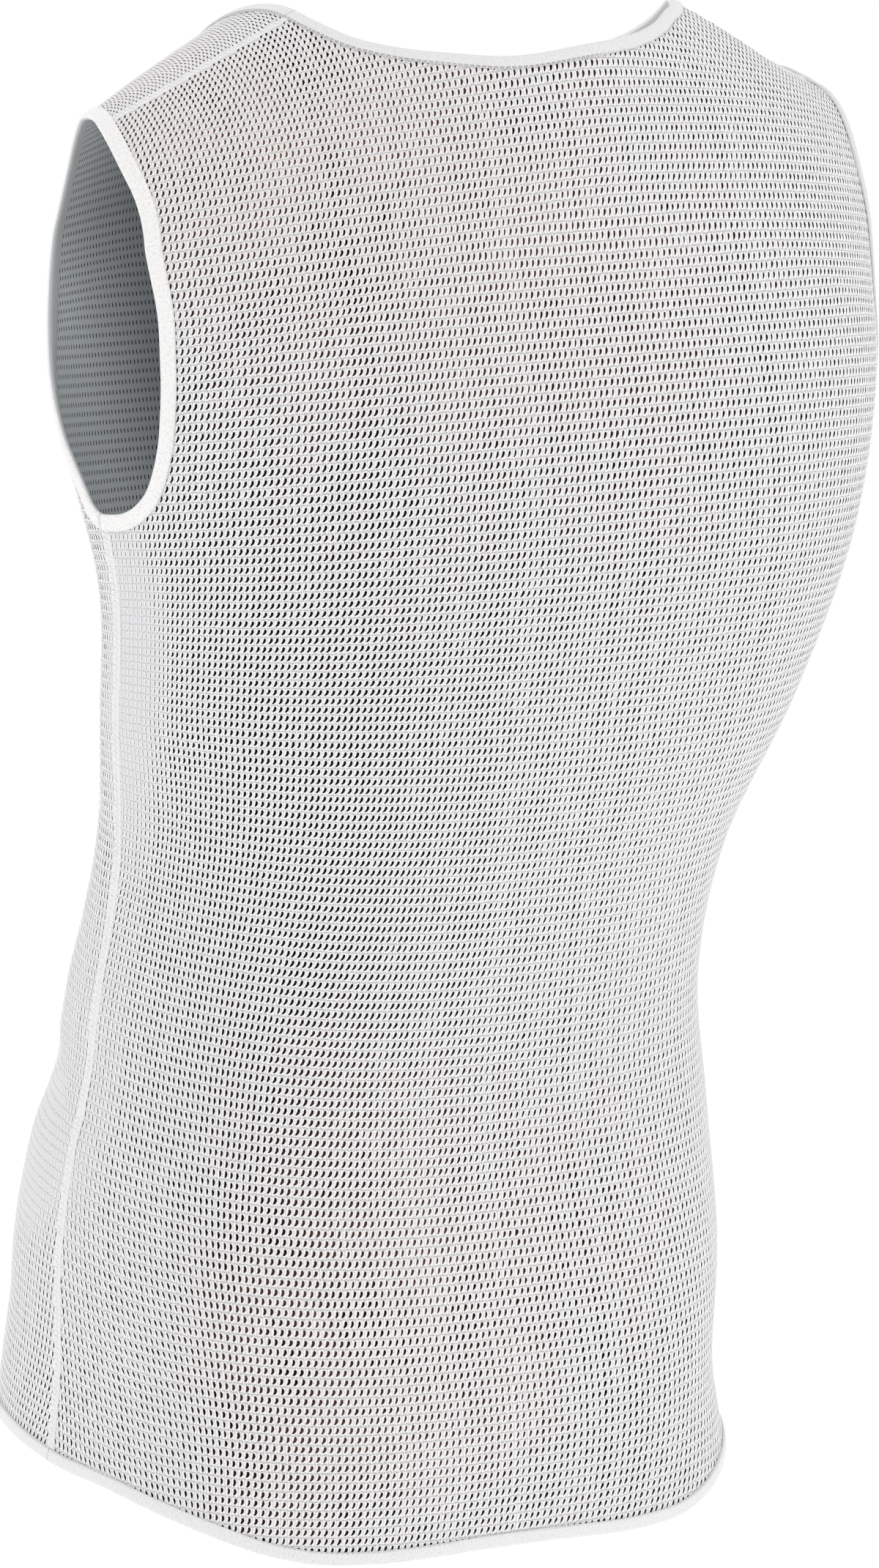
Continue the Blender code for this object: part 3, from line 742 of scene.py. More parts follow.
@dataclass
class KnitPanel:
    """One panel of mesh knit: its pierced face in two pieces, and its reverse, a closed sheet
    painted as shade behind the slots.
    """

    outline: Outline
    gauge: Gauge
    seed: int
    slack: tuple
    divide_height: float = -0.29
    base: float = 0.15 * MM
    slot_low: float = 0.22  # slots are measured in parts of a wale and of a course
    slot_high: float = 0.87
    slot_stretch: float = 0.03
    slot_width: float = 0.435
    slot_middle: float = 0.55
    least_width: float = 0.012
    most_width: float = 0.55
    slot_limits: tuple = (0.05, 0.93)
    column_spread: float = 0.08
    cell_spread: float = 0.10
    lean_spread: float = 0.02
    middle_spread: float = 0.03
    end_spread: float = 0.02
    pillar: float = 0.12 * MM
    loop_band: float = 0.06 * MM
    rim_drop: float = 0.05 * MM
    reverse_lift: float = 0.04 * MM
    reverse_depth: float = 0.45 * MM
    hollow_ease: float = 1.3
    most_hollow: float = 0.9 * MM
    clear_of_edge: float = 2.6 * MM
    least_part: float = 0.15  # of a cell, for it to be made at all
    whole_part: float = 1.05  # of a cell, for it to have its slot
    lattice_share: float = 1.06  # how far out the first choice of cells goes
    lattice_end: float = 0.004
    fully_closed: float = 0.8  # from here on a slack place has a firm edge
    most_open: float = -0.6
    # (share, height, half share, half height, warmth) of the light in the cloth.
    warm_places: tuple = (
        (0.45, 0.010, 0.32, 0.110, 0.85), (0.10, -0.100, 0.40, 0.120, 0.45),
        (0.32, -0.520, 0.34, 0.110, 0.70), (-0.15, -0.480, 0.30, 0.100, 0.35),
    )
    painted_shade_shares: tuple = (0.58, 0.20)  # where painted shade darkens the inside, away from the armholes
    back_painted_shade: float = 0.5

    # A cell's outer points as seen from outside, anticlockwise from its lower left;
    # then those of its slot: the place across as a part of the slot's width, and the
    # place up as a part of its height.
    outer = ((0, 0), (0.5, 0), (1, 0), (1, 0.5), (1, 1), (0.5, 1), (0, 1), (0, 0.5))
    slot_points = (
        (-0.80, 0.00), (-0.30, -0.02), (0.20, 0.20), (0.54, 0.55),
        (0.50, 0.86), (0.14, 1.00), (-0.12, 0.92), (-0.26, 0.48),
    )
    tail_height: float = 0.1  # of the slot, below which its tail lies
    tail_shares: tuple = (-0.10, 0.55)  # where the slots' tails grow to their full length
    tail_least: float = 0.45
    lean: float = 0.05  # wales across for the height of a slot, as seen from outside
    # (share, height, half share, half height, lean) of the places that pull it further.
    lean_places: tuple = (
        (0.78, -0.520, 0.30, 0.250, -0.50), (0.05, -0.400, 0.36, 0.200, 0.14),
        (0.42, -0.120, 0.36, 0.100, 0.04), (-0.45, -0.300, 0.25, 0.200, 0.06),
    )

    @property
    def form(self) -> WornForm:
        """The form that the panel lies on."""
        return self.outline.form

    def reaches(self, wale: Array, course: Array, part: float) -> Array:
        """Whether a part of each cell lies inside the seams, from whichever side they come.

        Args:
            wale: Wale of each cell's lower left corner.
            course: Its course.
            part: The part of the cell, measured from the side away from the seam.

        Returns:
            True for each cell that has that part.
        """
        share, _ = self.gauge.place(wale + 0.5, course + 0.5)
        left, _ = self.gauge.place(wale + part, course + 0.5)
        right, _ = self.gauge.place(wale + 1 - part, course + 0.5)
        _, up = self.gauge.place(wale + 0.5, course + part)
        return (left < 1) & (right > -1) & (up < self.form.top(share))

    def cells(self) -> tuple[Array, Array, Array]:
        """Chooses the cells of the lattice that the panel is cut from.

        Returns:
            Wale and course of each cell's lower left corner, and whether a seam cuts it.
        """
        gauge = self.gauge
        cells = np.array(
            np.meshgrid(np.arange(-gauge.wales + 1, gauge.wales - 1), np.arange(gauge.courses - 1))
        ).reshape(2, -1)
        share, height = gauge.place(*(cells + 0.5))
        near = (np.abs(share) < self.lattice_share) & (height < gauge.high - self.lattice_end)
        cells = cells[:, near]
        loop, tree = self.outline.bound()
        cells = cells[:, inside(loop, np.stack(gauge.place(*(cells + 0.5)), axis=1))]
        cells = cells[:, self.reaches(*cells, self.least_part)]
        share, height = gauge.place(*(cells + 0.5))
        points = self.form.plain(np.clip(share, -1, 1), height)
        clear = np.array([tree.find(point)[2] for point in points]) > self.clear_of_edge
        cells = cells[:, clear]
        return *cells, ~self.reaches(*cells, self.whole_part)

    def closed(self, share: Array, height: Array) -> Array:
        """How far the slots close.

        Args:
            share: Shares of the half section.
            height: Row runs.

        Returns:
            The closing at each place, below 0 where the slots open.
        """
        shut = np.zeros(np.shape(share))
        for around, at_height, half_share, half_height, most in self.slack:
            off = self.form.from_place(share, around) / half_share
            up = (height - at_height) / half_height
            shut += most * np.exp(-((off**2 + up**2) ** (2 if most > self.fully_closed else 1)))
        return np.clip(shut, self.most_open, 1.0)

    def patches(self, places: tuple, share: Array, height: Array) -> Array:
        """Adds up soft patches.

        Args:
            places: (share, height, half share, half height, most) of each patch.
            share: Shares of the places to read.
            height: Their row runs.

        Returns:
            The sum at each place.
        """
        total = np.zeros(np.shape(share))
        for at_share, at_height, half_share, half_height, most in places:
            off, up = (share - at_share) / half_share, (height - at_height) / half_height
            total += most * np.exp(-(off**2) - up**2)
        return total

    def held(self, share: Array, height: Array) -> Pair:
        """Places moved back onto the seams where they lie past them.

        Args:
            share: Shares of the half section.
            height: Row runs.

        Returns:
            The shares and the row runs, none past a seam.
        """
        most = 1 - SEAM_GAP / 2 / SHARE_METRES
        share = np.clip(share, -most, most)
        return share, np.minimum(height, self.form.top(share) - SEAM_GAP / 2)

    def on_cloth(self, wale: Array, course: Array) -> Pair:
        """Points of the lattice on the cloth's middle surface, and the normals there."""
        return self.form.cloth(*self.held(*self.gauge.place(wale, course)))

    def laid(self, wale: Array, course: Array, lift: Array) -> Array:
        """Points of the lattice, lifted off the cloth's middle surface."""
        points, normal = self.on_cloth(wale, course)
        return points + normal * np.asarray(lift)[..., None]

    def seen(self, across: float, wales: int = 1) -> float:
        """The wale at a place across a cell, where the place is as seen from outside."""
        return across if self.form.side is Side.FRONT else wales - across

    def shared(self, wale: Array, course: Array, corners: tuple) -> tuple[Array, Array, Array]:
        """Numbers the lattice points that cells share.

        Args:
            wale: Wale of each cell's lower left corner on the lattice.
            course: Its course.
            corners: The cell's corners on the lattice.

        Returns:
            The wale and course of every point, and each cell's ring of point numbers.
        """
        half_i, half_j = (
            np.stack([2 * at + int(2 * corner[k]) for corner in corners], axis=1)
            for k, at in enumerate((wale, course))
        )
        span = 8 * self.gauge.wales
        key = (half_i + span // 2) + half_j * span
        unique, index = np.unique(key, return_inverse=True)
        return (unique % span - span // 2) / 2, unique // span / 2, index.reshape(key.shape)

    def slots(self, wale: Array, course: Array) -> Pair:
        """Draws every cell's slot, each a little unlike the next.

        Args:
            wale: Wale of each cell's lower left corner.
            course: Its course.

        Returns:
            Wales and courses of the slots' points, a row of eight for each cell.
        """
        chance = np.random.default_rng(self.seed)
        count, columns = len(wale), 2 * self.gauge.wales + 2
        column = wale + self.gauge.wales
        by_column = chance.normal(0, self.column_spread, columns)[column]
        share, height = self.gauge.place(wale + 0.5, course + 0.5)
        lean = self.lean + self.lean_spread * chance.normal(0, 1, columns)[column]
        lean = lean + self.patches(self.lean_places, share, height)
        closed = self.closed(share, height)
        width = self.slot_width * (1 + by_column) * (1 + chance.normal(0, self.cell_spread, count))
        width = np.clip(width * (1 - closed), self.least_width, self.most_width)
        middle = self.slot_middle + chance.normal(0, self.middle_spread, count)
        low = self.slot_low + chance.normal(0, self.end_spread, count)
        high = self.slot_high + chance.normal(0, self.end_spread, count)
        high = high + self.slot_stretch * np.minimum(-closed, 0)
        across, up = np.array(self.slot_points).T[:, :, None]
        tail = self.tail_least + (1 - self.tail_least) * eased(share, *self.tail_shares)
        tail = tail + 2 * np.minimum(lean, 0)
        across = np.where(up < self.tail_height, across * tail, across)
        place = np.clip((middle + width * across + lean * (up - 0.5)).T, *self.slot_limits)
        return wale[:, None] + self.seen(place), course[:, None] + (low + (high - low) * up).T

    def face(self) -> Shell:
        """The knit's face: pillars between slots, and the bands of loops above them."""
        wale, course, cut = self.cells()
        corners = tuple((self.seen(u), v) for u, v in self.outer)
        at_wale, at_course, ring = self.shared(wale, course, corners)
        on_pillar = (at_wale % 1 == 0) & (at_course % 1 != 0)
        lift = self.base + np.where(on_pillar, self.pillar, self.loop_band)
        wales, courses = self.slots(wale[~cut], course[~cut])
        start, added = len(at_wale), wales.size
        inner = start + np.arange(added).reshape(wales.shape)
        wales, courses = np.r_[at_wale, wales.ravel()], np.r_[at_course, courses.ravel()]
        lifts = np.r_[lift, np.full(added, self.base - self.rim_drop)]
        share, height = self.gauge.place(wales, courses)
        return Shell(
            self.laid(wales, courses, lifts),
            [np.concatenate(ring_quads(ring[~cut], inner)), ring[cut]],
            np.stack([wales, courses], axis=1),
            {
                "rim": np.r_[np.zeros(start), np.ones(added)],
                "shut": np.maximum(self.closed(share, height), 0.0),
                "warmth": self.patches(self.warm_places, share, height),
            },
        )

    def hollow(self, wale: Array, course: Array) -> Array:
        """How far faces two wales wide would stand out of the cloth where it is hollow.

        Args:
            wale: Wales of the points.
            course: Their courses.

        Returns:
            How far to press each point in.
        """
        here, normal = self.on_cloth(wale, course)
        rise = []
        for way in (-1, 1):
            between, _ = self.on_cloth(wale + way, course)
            ends = here + self.on_cloth(wale + 2 * way, course)[0]
            rise.append(((ends / 2 - between) * normal).sum(axis=1))
        return np.clip(self.hollow_ease * np.max(rise, axis=0), 0.0, self.most_hollow)

    def reverse(self) -> Shell:
        """The knit's reverse, two wales to a face: a thin closed sheet behind the slots, painted
        as shade on its outer face.
        """
        wale, course, _ = self.cells()
        pair = np.unique(np.stack([wale // 2 * 2, course], axis=1), axis=0)
        corners = tuple((self.seen(u, 2), v) for u, v in ((0, 0), (2, 0), (2, 1), (0, 1)))
        at_wale, at_course, ring = self.shared(*pair.T, corners)
        count = len(at_wale)
        share, height = self.gauge.place(at_wale, at_course)
        loop, _ = self.outline.bound()
        ring = ring[inside(loop, np.stack([share, height], axis=1))[ring].all(axis=1)]
        dip = self.hollow(at_wale, at_course)
        lifts = (self.reverse_lift - dip, -self.reverse_depth - dip)
        sides = np.concatenate([ring[:, (k, (k + 1) % 4)] for k in range(4)])
        _, first, times = np.unique(
            np.sort(sides, axis=1), axis=0, return_index=True, return_counts=True
        )
        rim = sides[first[times == 1]]
        wall = np.stack([rim[:, 0], rim[:, 0] + count, rim[:, 1] + count, rim[:, 1]], axis=1)
        # Painted shade inside the garment, deeper away from the armholes; half as much on the
        # back.
        painted_shade = 1.0 if self.form.side is Side.FRONT else self.back_painted_shade
        return Shell(
            np.concatenate([self.laid(at_wale, at_course, lift) for lift in lifts]),
            [ring, ring[:, ::-1] + count, wall],
            np.tile(np.stack([at_wale, at_course], axis=1), (2, 1)),
            {
                "warmth": np.tile(self.patches(self.warm_places, share, height), 2),
                "painted_shade": np.tile(painted_shade * eased(np.abs(share), *self.painted_shade_shares), 2),
            },
            (0, 1, 1),
        )

    def build(self, name: str, face: Material, reverse: list) -> list:
        """Makes the panel's pieces.

        Args:
            name: back or front.
            face: The finish of the knit's face.
            reverse: The finishes of the reverse: painted shade behind the slots, then the inside.

        Returns:
            The reverse, then the upper and the lower face.
        """
        shell, heights = self.face(), self.gauge.heights
        normals = shell.normals()
        line = round(np.interp(self.divide_height, heights, np.arange(len(heights)) / 2))
        pieces = [self.reverse().piece(f"{name}_knit_reverse", reverse)]
        rows = [shell.uv[array][:, :, 1].mean(axis=1) for array in shell.faces]
        for title, above in (("upper", True), ("lower", False)):
            part, used = shell.part([(row > line) == above for row in rows])
            pieces.append(part.piece(f"{name}_knit_{title}", [face], normals[used]))
        return [riding(piece, f"{name}_panel") for piece in pieces]


# --- Bindings and seams


@dataclass
class EdgeTrack:
    """Even stations along one edge of a panel, with what lies square to it."""

    outline: Outline
    edge: str
    spacing: float
    width: float

    def places(self, count: int | None = None) -> Array:
        """The edge cut into even steps, as (share, height).

        Args:
            count: How many steps to take, or None for even ones.

        Returns:
            The places, one more than there are steps.
        """
        curve = self.outline.edges[self.edge]
        run = run_of(self.outline.form.plain(*curve.T))
        count = count or max(4, round(run[-1] / self.spacing))
        return read_line(np.linspace(0, run[-1], count + 1), run, curve)

    def rows(self, count: int | None = None) -> list[Array]:
        """Measures the stations.

        Args:
            count: How many steps to take, or None for even ones.

        Returns:
            Edge points, points a width inside the edge, and the normals of both.
        """
        form, places = self.outline.form, self.places(count)
        by_share, by_height = form.slopes(*places.T)
        tangent = np.gradient(form.plain(*places.T), axis=0)
        inward = unit(np.cross(np.cross(by_share, by_height), tangent)) * self.width
        (aa, ab, ar), (_, bb, br) = (
            [(slope * other).sum(axis=1) for other in (by_share, by_height, inward)]
            for slope in (by_share, by_height)
        )
        turn = aa * bb - ab * ab
        jump = np.stack([(bb * ar - ab * br) / turn, (aa * br - ab * ar) / turn], axis=1)
        (outer, outer_normal), (inner, inner_normal) = (
            form.cloth(*at.T) for at in (places, places + jump)
        )
        return [outer, inner, outer_normal, inner_normal]


def swept(rows: list[Array], width: float, profile: tuple, inner: int) -> Shell:
    """A band swept round an edge and into itself.

    Args:
        rows: What EdgeTrack.rows gives.
        width: The width that the inner points lie inside the edge.
        profile: (place inside the edge, place out of the cloth) in millimetres, as a ring.
        inner: The ring's side from which the band faces the inside of the garment.

    Returns:
        The shell, with its run and its place across in millimetres as its UV map.
    """
    outer, inner_points, outer_normal, inner_normal = rows
    rings = []
    for place, lift in profile:
        part = place * MM / width
        normal = unit(outer_normal + (inner_normal - outer_normal) * part)
        rings.append(outer + (inner_points - outer) * part + normal * (lift * MM))
    points = np.stack(rings, axis=1)
    count, sides = points.shape[:2]
    number = np.arange(count * sides).reshape(count, sides)
    quads = ring_quads(number, np.roll(number, -1, axis=0))
    across = np.tile([place for place, _ in profile], count)
    uv = np.stack([np.repeat(run_of(outer) / MM, sides), across], axis=1)
    faces = [np.concatenate(quads[:inner]), np.concatenate(quads[inner:])]
    return Shell(points.reshape(-1, 3), faces, uv, slots=(0, 1))


def faced_out(piece: Piece) -> Piece:
    """Turns the faces of a closed piece outwards.

    Args:
        piece: The piece.

    Returns:
        The same piece, the only one selected.
    """
    bpy.ops.object.select_all(action="DESELECT")
    bpy.context.view_layer.objects.active = piece
    piece.select_set(True)
    bpy.ops.object.mode_set(mode="EDIT")
    bpy.ops.mesh.select_all(action="SELECT")
    bpy.ops.mesh.normals_make_consistent(inside=False)
    bpy.ops.object.mode_set(mode="OBJECT")
    return piece


@dataclass
class Binding:
    """Elastic folded over an edge: the back's edge, then the front's back to its start."""

    panels: list[Outline]  # the back, then the front
    edge: str
    width: float
    spacing: float = 1.6 * MM
    fold: float = 1.15  # in millimetres, as wall and clear are
    wall: float = 1.40
    clear: float = 0.30
    blend: int = 4
    joined_at_front: bool = False  # True if its ends meet where the front's edge begins

    def profile(self) -> tuple:
        """The folded strip's section: its outside, then its inside, as a ring."""
        wide, fold, wall, clear = self.width / MM, self.fold, self.wall, self.clear
        outside = [
            (wide, clear), (wide - 0.10, wall - 0.35), (wide - 0.45, wall - 0.12),
            (wide - 1.4, wall), (wide * 0.5, wall + 0.06), (0.6, wall),
            (-fold * 0.45, wall * 0.84), (-fold * 0.86, wall * 0.50), (-fold, 0.0),
        ]
        turned = [(place, -lift) for place, lift in outside[-2::-1]]
        return (*outside, *turned, (-clear, -clear), (-clear, clear))

    def tracks(self) -> list[EdgeTrack]:
        """The edge of the back and of the front."""
        return [EdgeTrack(panel, self.edge, self.spacing, self.width) for panel in self.panels]

    def rows(self) -> list[Array]:
        """The whole loop's stations, with its directions eased over the seams."""
        outer, inner, *normals = (
            np.concatenate([back[:-1], front[:0:-1]])
            for back, front in zip(*(track.rows() for track in self.tracks()))
        )
        eased_rows = [outer, inner - outer, *normals]
        for _ in range(self.blend):
            eased_rows = [
                (np.roll(row, 1, axis=0) + 2 * row + np.roll(row, -1, axis=0)) / 4
                for row in eased_rows
            ]
        outer, inward, *normals = eased_rows
        return [outer, outer + unit(inward) * self.width, *normals]

    def build(self, name: str, node: str, finish: list) -> Piece:
        """Makes the binding, with a mark where its ends are joined.

        Args:
            name: The piece's name.
            node: The solid that it stands for.
            finish: The finishes of its outside and its inside.

        Returns:
            The piece.
        """
        profile = self.profile()
        shell = swept(self.rows(), self.width, profile, len(profile) // 2 - 1)
        join = np.zeros((len(shell.points) // len(profile), len(profile)))
        join[len(self.tracks()[0].places()) - 1 if self.joined_at_front else 0] = 1.0
        shell.attributes["join"] = join.ravel()
        return riding(faced_out(shell.piece(name, finish)), node)


@dataclass
class Flatlock:
    """The flat band of stitches over a seam: a crowned bed and the threads across it."""

    panels: list[Outline]  # the back, then the front
    edge: str
    seed: int
    width: float
    spacing: float = 1.2 * MM
    # (place across, height over the cloth in millimetres) of the bed's outline.
    bed: tuple = (
        (-1.0, 0.10), (-0.96, 0.38), (-0.60, 0.55), (0.0, 0.50), (0.60, 0.55), (0.96, 0.38),
        (1.0, 0.10),
    )
    bow: float = 0.5
    stitch: float = 1.25 * MM
    first_stitch: float = 0.6 * MM
    last_stitch: float = 1.6 * MM
    overlap: float = 1.1
    # (place across, height over the cloth in millimetres, part of the radius) of a thread.
    strand: tuple = (
        (-1.0, 0.22, 0.55), (-0.62, 0.64, 1.0), (0.0, 0.70, 1.1), (0.62, 0.64, 1.0),
        (1.0, 0.22, 0.55),
    )
    thread: float = 0.36 * MM
    strand_sides: int = 4
    reach_spread: float = 0.05
    run_spread: float = 0.10 * MM
    arch_spread: float = 0.03

    def frame(self) -> Pair:
        """Measures the band.

        Returns:
            The run along its middle line, and there the line, the way across and the normal.
        """
        half = self.width / 2
        tracks = [EdgeTrack(panel, self.edge, self.spacing, half) for panel in self.panels]
        count = len(tracks[0].places()) - 1
        back, front = (track.rows(count) for track in tracks)
        middle = (back[0] + front[0]) / 2
        across = unit(back[1] - front[1]) * half
        middle = middle + ((back[1] + front[1]) / 2 - middle) * self.bow
        return run_of(middle), np.concatenate([middle, across, unit(back[2] + front[2])], axis=1)

    def at(self, run: Array, side: Array, lift: Array) -> Array:
        """Points of the band.

        Args:
            run: Lengths along the seam.
            side: Places across it, from -1 to 1.
            lift: Heights over the cloth's middle, in millimetres.

        Returns:
            The points.
        """
        middle, across, normal = np.split(read_line(run, *self.frame()), 3, axis=-1)
        return middle + across * side[..., None] + normal * (lift * MM)[..., None]

    def bed_shell(self, length: float) -> Shell:
        """The crowned band under the threads.

        Args:
            length: The seam's length.

        Returns:
            The band, closed at both ends.
        """
        run = np.linspace(0, length, max(4, round(length / self.spacing)) + 1)
        count, sides = len(run), len(self.bed)
        side, lift = np.tile(np.transpose(self.bed), count)
        run = np.repeat(run, sides)
        number = np.arange(count * sides).reshape(count, sides)
        quads = ring_quads(number[:-1], number[1:])
        faces = [np.concatenate(quads), np.array([number[0, ::-1], number[-1]])]
        uv = np.stack([run / MM, side], axis=1)
        return Shell(self.at(run, side, lift), faces, uv, {"strand": np.zeros(len(run))})

    def threads(self, length: float) -> Shell:
        """Slanted threads across the band, one way and then the other.

        Args:
            length: The seam's length.

        Returns:
            The threads, each a closed strand.
        """
        chance = np.random.default_rng(self.seed)
        starts = np.arange(self.first_stitch, length - self.last_stitch, self.stitch)
        count, rows, sides = len(starts), len(self.strand), self.strand_sides
        way = np.where(np.arange(count) % 2 == 0, 1.0, -1.0)
        t, arch, radius = np.transpose(self.strand)
        reach = 1.0 + chance.normal(0, self.reach_spread, (count, 1))
        side = t[None] * reach * way[:, None]
        run = starts[:, None] + (t[None] + 1) / 2 * self.stitch * self.overlap
        run = run + chance.normal(0, self.run_spread, (count, 1))
        arch = arch + chance.normal(0, self.arch_spread, (count, 1))
        centre = self.at(run, side, arch)
        along = unit(np.gradient(centre, axis=1))
        up = self.at(run, side, arch + 1) - centre
        up = unit(up - along * (up * along).sum(axis=2, keepdims=True))
        out = np.cross(along, up)
        turn = np.arange(sides) / sides * 2 * math.pi
        radius = (self.thread / 2 * radius)[:, None, None]
        ring = centre[:, :, None]
        for way_out, share in ((out, np.cos(turn)), (up, np.sin(turn))):
            ring = ring + way_out[:, :, None] * (share[:, None] * radius)
        number = np.arange(count * rows * sides).reshape(count, rows, sides)
        quads = [q for r in range(rows - 1) for q in ring_quads(number[:, r], number[:, r + 1])]
        caps = [number[:, 0, ::-1], number[:, -1]]
        uv = np.stack([np.repeat(run / MM, sides), np.repeat(side, sides)], axis=1)
        faces = [np.concatenate(quads), np.concatenate(caps)]
        return Shell(ring.reshape(-1, 3), faces, uv, {"strand": np.ones(ring.size // 3)})

    def build(self, name: str, node: str, finish: Material) -> Piece:
        """Makes the seam's band and joins its threads to it.

        Args:
            name: The piece's name.
            node: The solid that it stands for.
            finish: The thread's finish.

        Returns:
            The piece.
        """
        length = float(self.frame()[0][-1])
        bed = faced_out(self.bed_shell(length).piece(name, [finish]))
        threads = faced_out(self.threads(length).piece(f"{name}_threads", [finish]))
        for piece in (threads, bed):
            piece.select_set(True)
            bpy.context.view_layer.objects.active = piece
        bpy.ops.object.join()
        return riding(bed, node)


# --- Finishes

WHITE = (1.0, 1.0, 1.0, 1.0)
RELIEF = 0.2 * MM
# The kinds of node, each with its settings.
UV_MAP = ("ShaderNodeUVMap", {"uv_map": "gauge"})
SPLIT = ("ShaderNodeSeparateXYZ", {})
GRAIN = ("ShaderNodeTexNoise", {"noise_dimensions": "2D"})
PATCH = ("ShaderNodeTexNoise", {"noise_dimensions": "1D"})
RANGE = ("ShaderNodeMapRange", {})
SOFT = ("ShaderNodeMapRange", {"interpolation_type": "SMOOTHSTEP"})
LAID = ("ShaderNodeMix", {"data_type": "RGBA"})
TINTED = ("ShaderNodeMix", {"data_type": "RGBA", "blend_type": "MULTIPLY"})
BUMP = ("ShaderNodeBump", {})
TIMES, PLUS, LESS, SIZE, WAVE, PART = (
    ("ShaderNodeMath", {"operation": name})
    for name in ("MULTIPLY", "ADD", "SUBTRACT", "ABSOLUTE", "SINE", "FRACT")
)
SHUT, RIM, WARMTH, PAINTED_SHADE, JOIN, STRAND = (
    ("ShaderNodeAttribute", {"attribute_name": name})
    for name in ("shut", "rim", "warmth", "painted_shade", "join", "strand")
)


def linear(colour: str) -> tuple[float, float, float, float]:
    """An sRGB hex colour as linear RGBA.

    Args:
        colour: The colour, as # and six digits.

    Returns:
        Its red, green, blue and alpha.
    """
    parts = [int(colour[k : k + 2], 16) / 255 for k in (1, 3, 5)]
    made = [c / 12.92 if c <= 0.04045 else ((c + 0.055) / 1.055) ** 2.4 for c in parts]
    return (*made, 1.0)


def add_node(
    tree: Tree, kind: tuple, inputs: dict | None = None, output: int | str = 0
) -> Socket:
    """Adds a shader node.

    Args:
        tree: The material's node tree.
        kind: The node's type name, and its own properties.
        inputs: Values or output sockets for its inputs, by name or number.
        output: Which of its outputs to give back.

    Returns:
        That output.
    """
    made = tree.nodes.new(kind[0])
    for name, value in kind[1].items():
        setattr(made, name, value)
    for socket, value in (inputs or {}).items():
        if isinstance(value, Socket):
            tree.links.new(value, made.inputs[socket])
        else:
            made.inputs[socket].default_value = value
    return made.outputs[output]


def add_chain(
    tree: Tree, value: Socket, *steps: tuple
) -> Socket:
    """Adds nodes one after the other, each fed by the one before.

    Args:
        tree: The material's node tree.
        value: What feeds the first node.
        steps: The kind of each node, then what its inputs after the first take.

    Returns:
        The last node's output.
    """
    for kind, *others in steps:
        value = add_node(tree, kind, dict(enumerate((value, *others))))
    return value


def dress(
    made: Material, base: str, layers: tuple, relief: tuple | None = None
) -> Material:
    """Lays tones over a base colour and gives the cloth its fine relief.

    Args:
        made: The material.
        base: The base, as an sRGB hex colour.
        layers: (how it is laid, how much, sRGB hex colour) of each tone.
        relief: Its strength and its height.

    Returns:
        The same material.
    """
    tree, colour = made.node_tree, linear(base)
    sockets = tree.nodes["Principled BSDF"].inputs
    for kind, much, tone in layers:
        colour = add_node(tree, kind, {0: much, 6: colour, 7: linear(tone)}, 2)
    tree.links.new(colour, sockets["Base Color"])
    if relief:
        bump = {"Strength": relief[0], "Distance": RELIEF, "Height": relief[1]}
        tree.links.new(add_node(tree, BUMP, bump), sockets["Normal"])
    return made


def new_material(name: str, constants: dict) -> Material:
    """A new material with its constants set on the shader's own sockets.

    Args:
        name: Its name.
        constants: What each socket holds.

    Returns:
        The material.
    """
    made = bpy.data.materials.new(name)
    made.use_nodes = True
    for socket, value in constants.items():
        made.node_tree.nodes["Principled BSDF"].inputs[socket].default_value = value
    return made


@dataclass(frozen=True)
class Cloth:
    """A plain matt textile, which the finishes below start from."""

    name: str
    colour: str
    roughness: float
    sheen: float = 0.0
    specular: float = 0.25
    glow: float = 0.0  # painted light: a glow that brightens a face in shade

    def start(self) -> tuple[Material, Tree, Socket]:
        """The material, its tree, and its places on the cloth."""
        made = new_material(self.name, {
            "Base Color": linear(self.colour), "Roughness": self.roughness, "IOR": 1.5,
            "Specular IOR Level": self.specular, "Sheen Weight": self.sheen,
            "Sheen Roughness": 0.5, "Emission Color": WHITE, "Emission Strength": self.glow,
        })
        return made, made.node_tree, add_node(made.node_tree, UV_MAP)


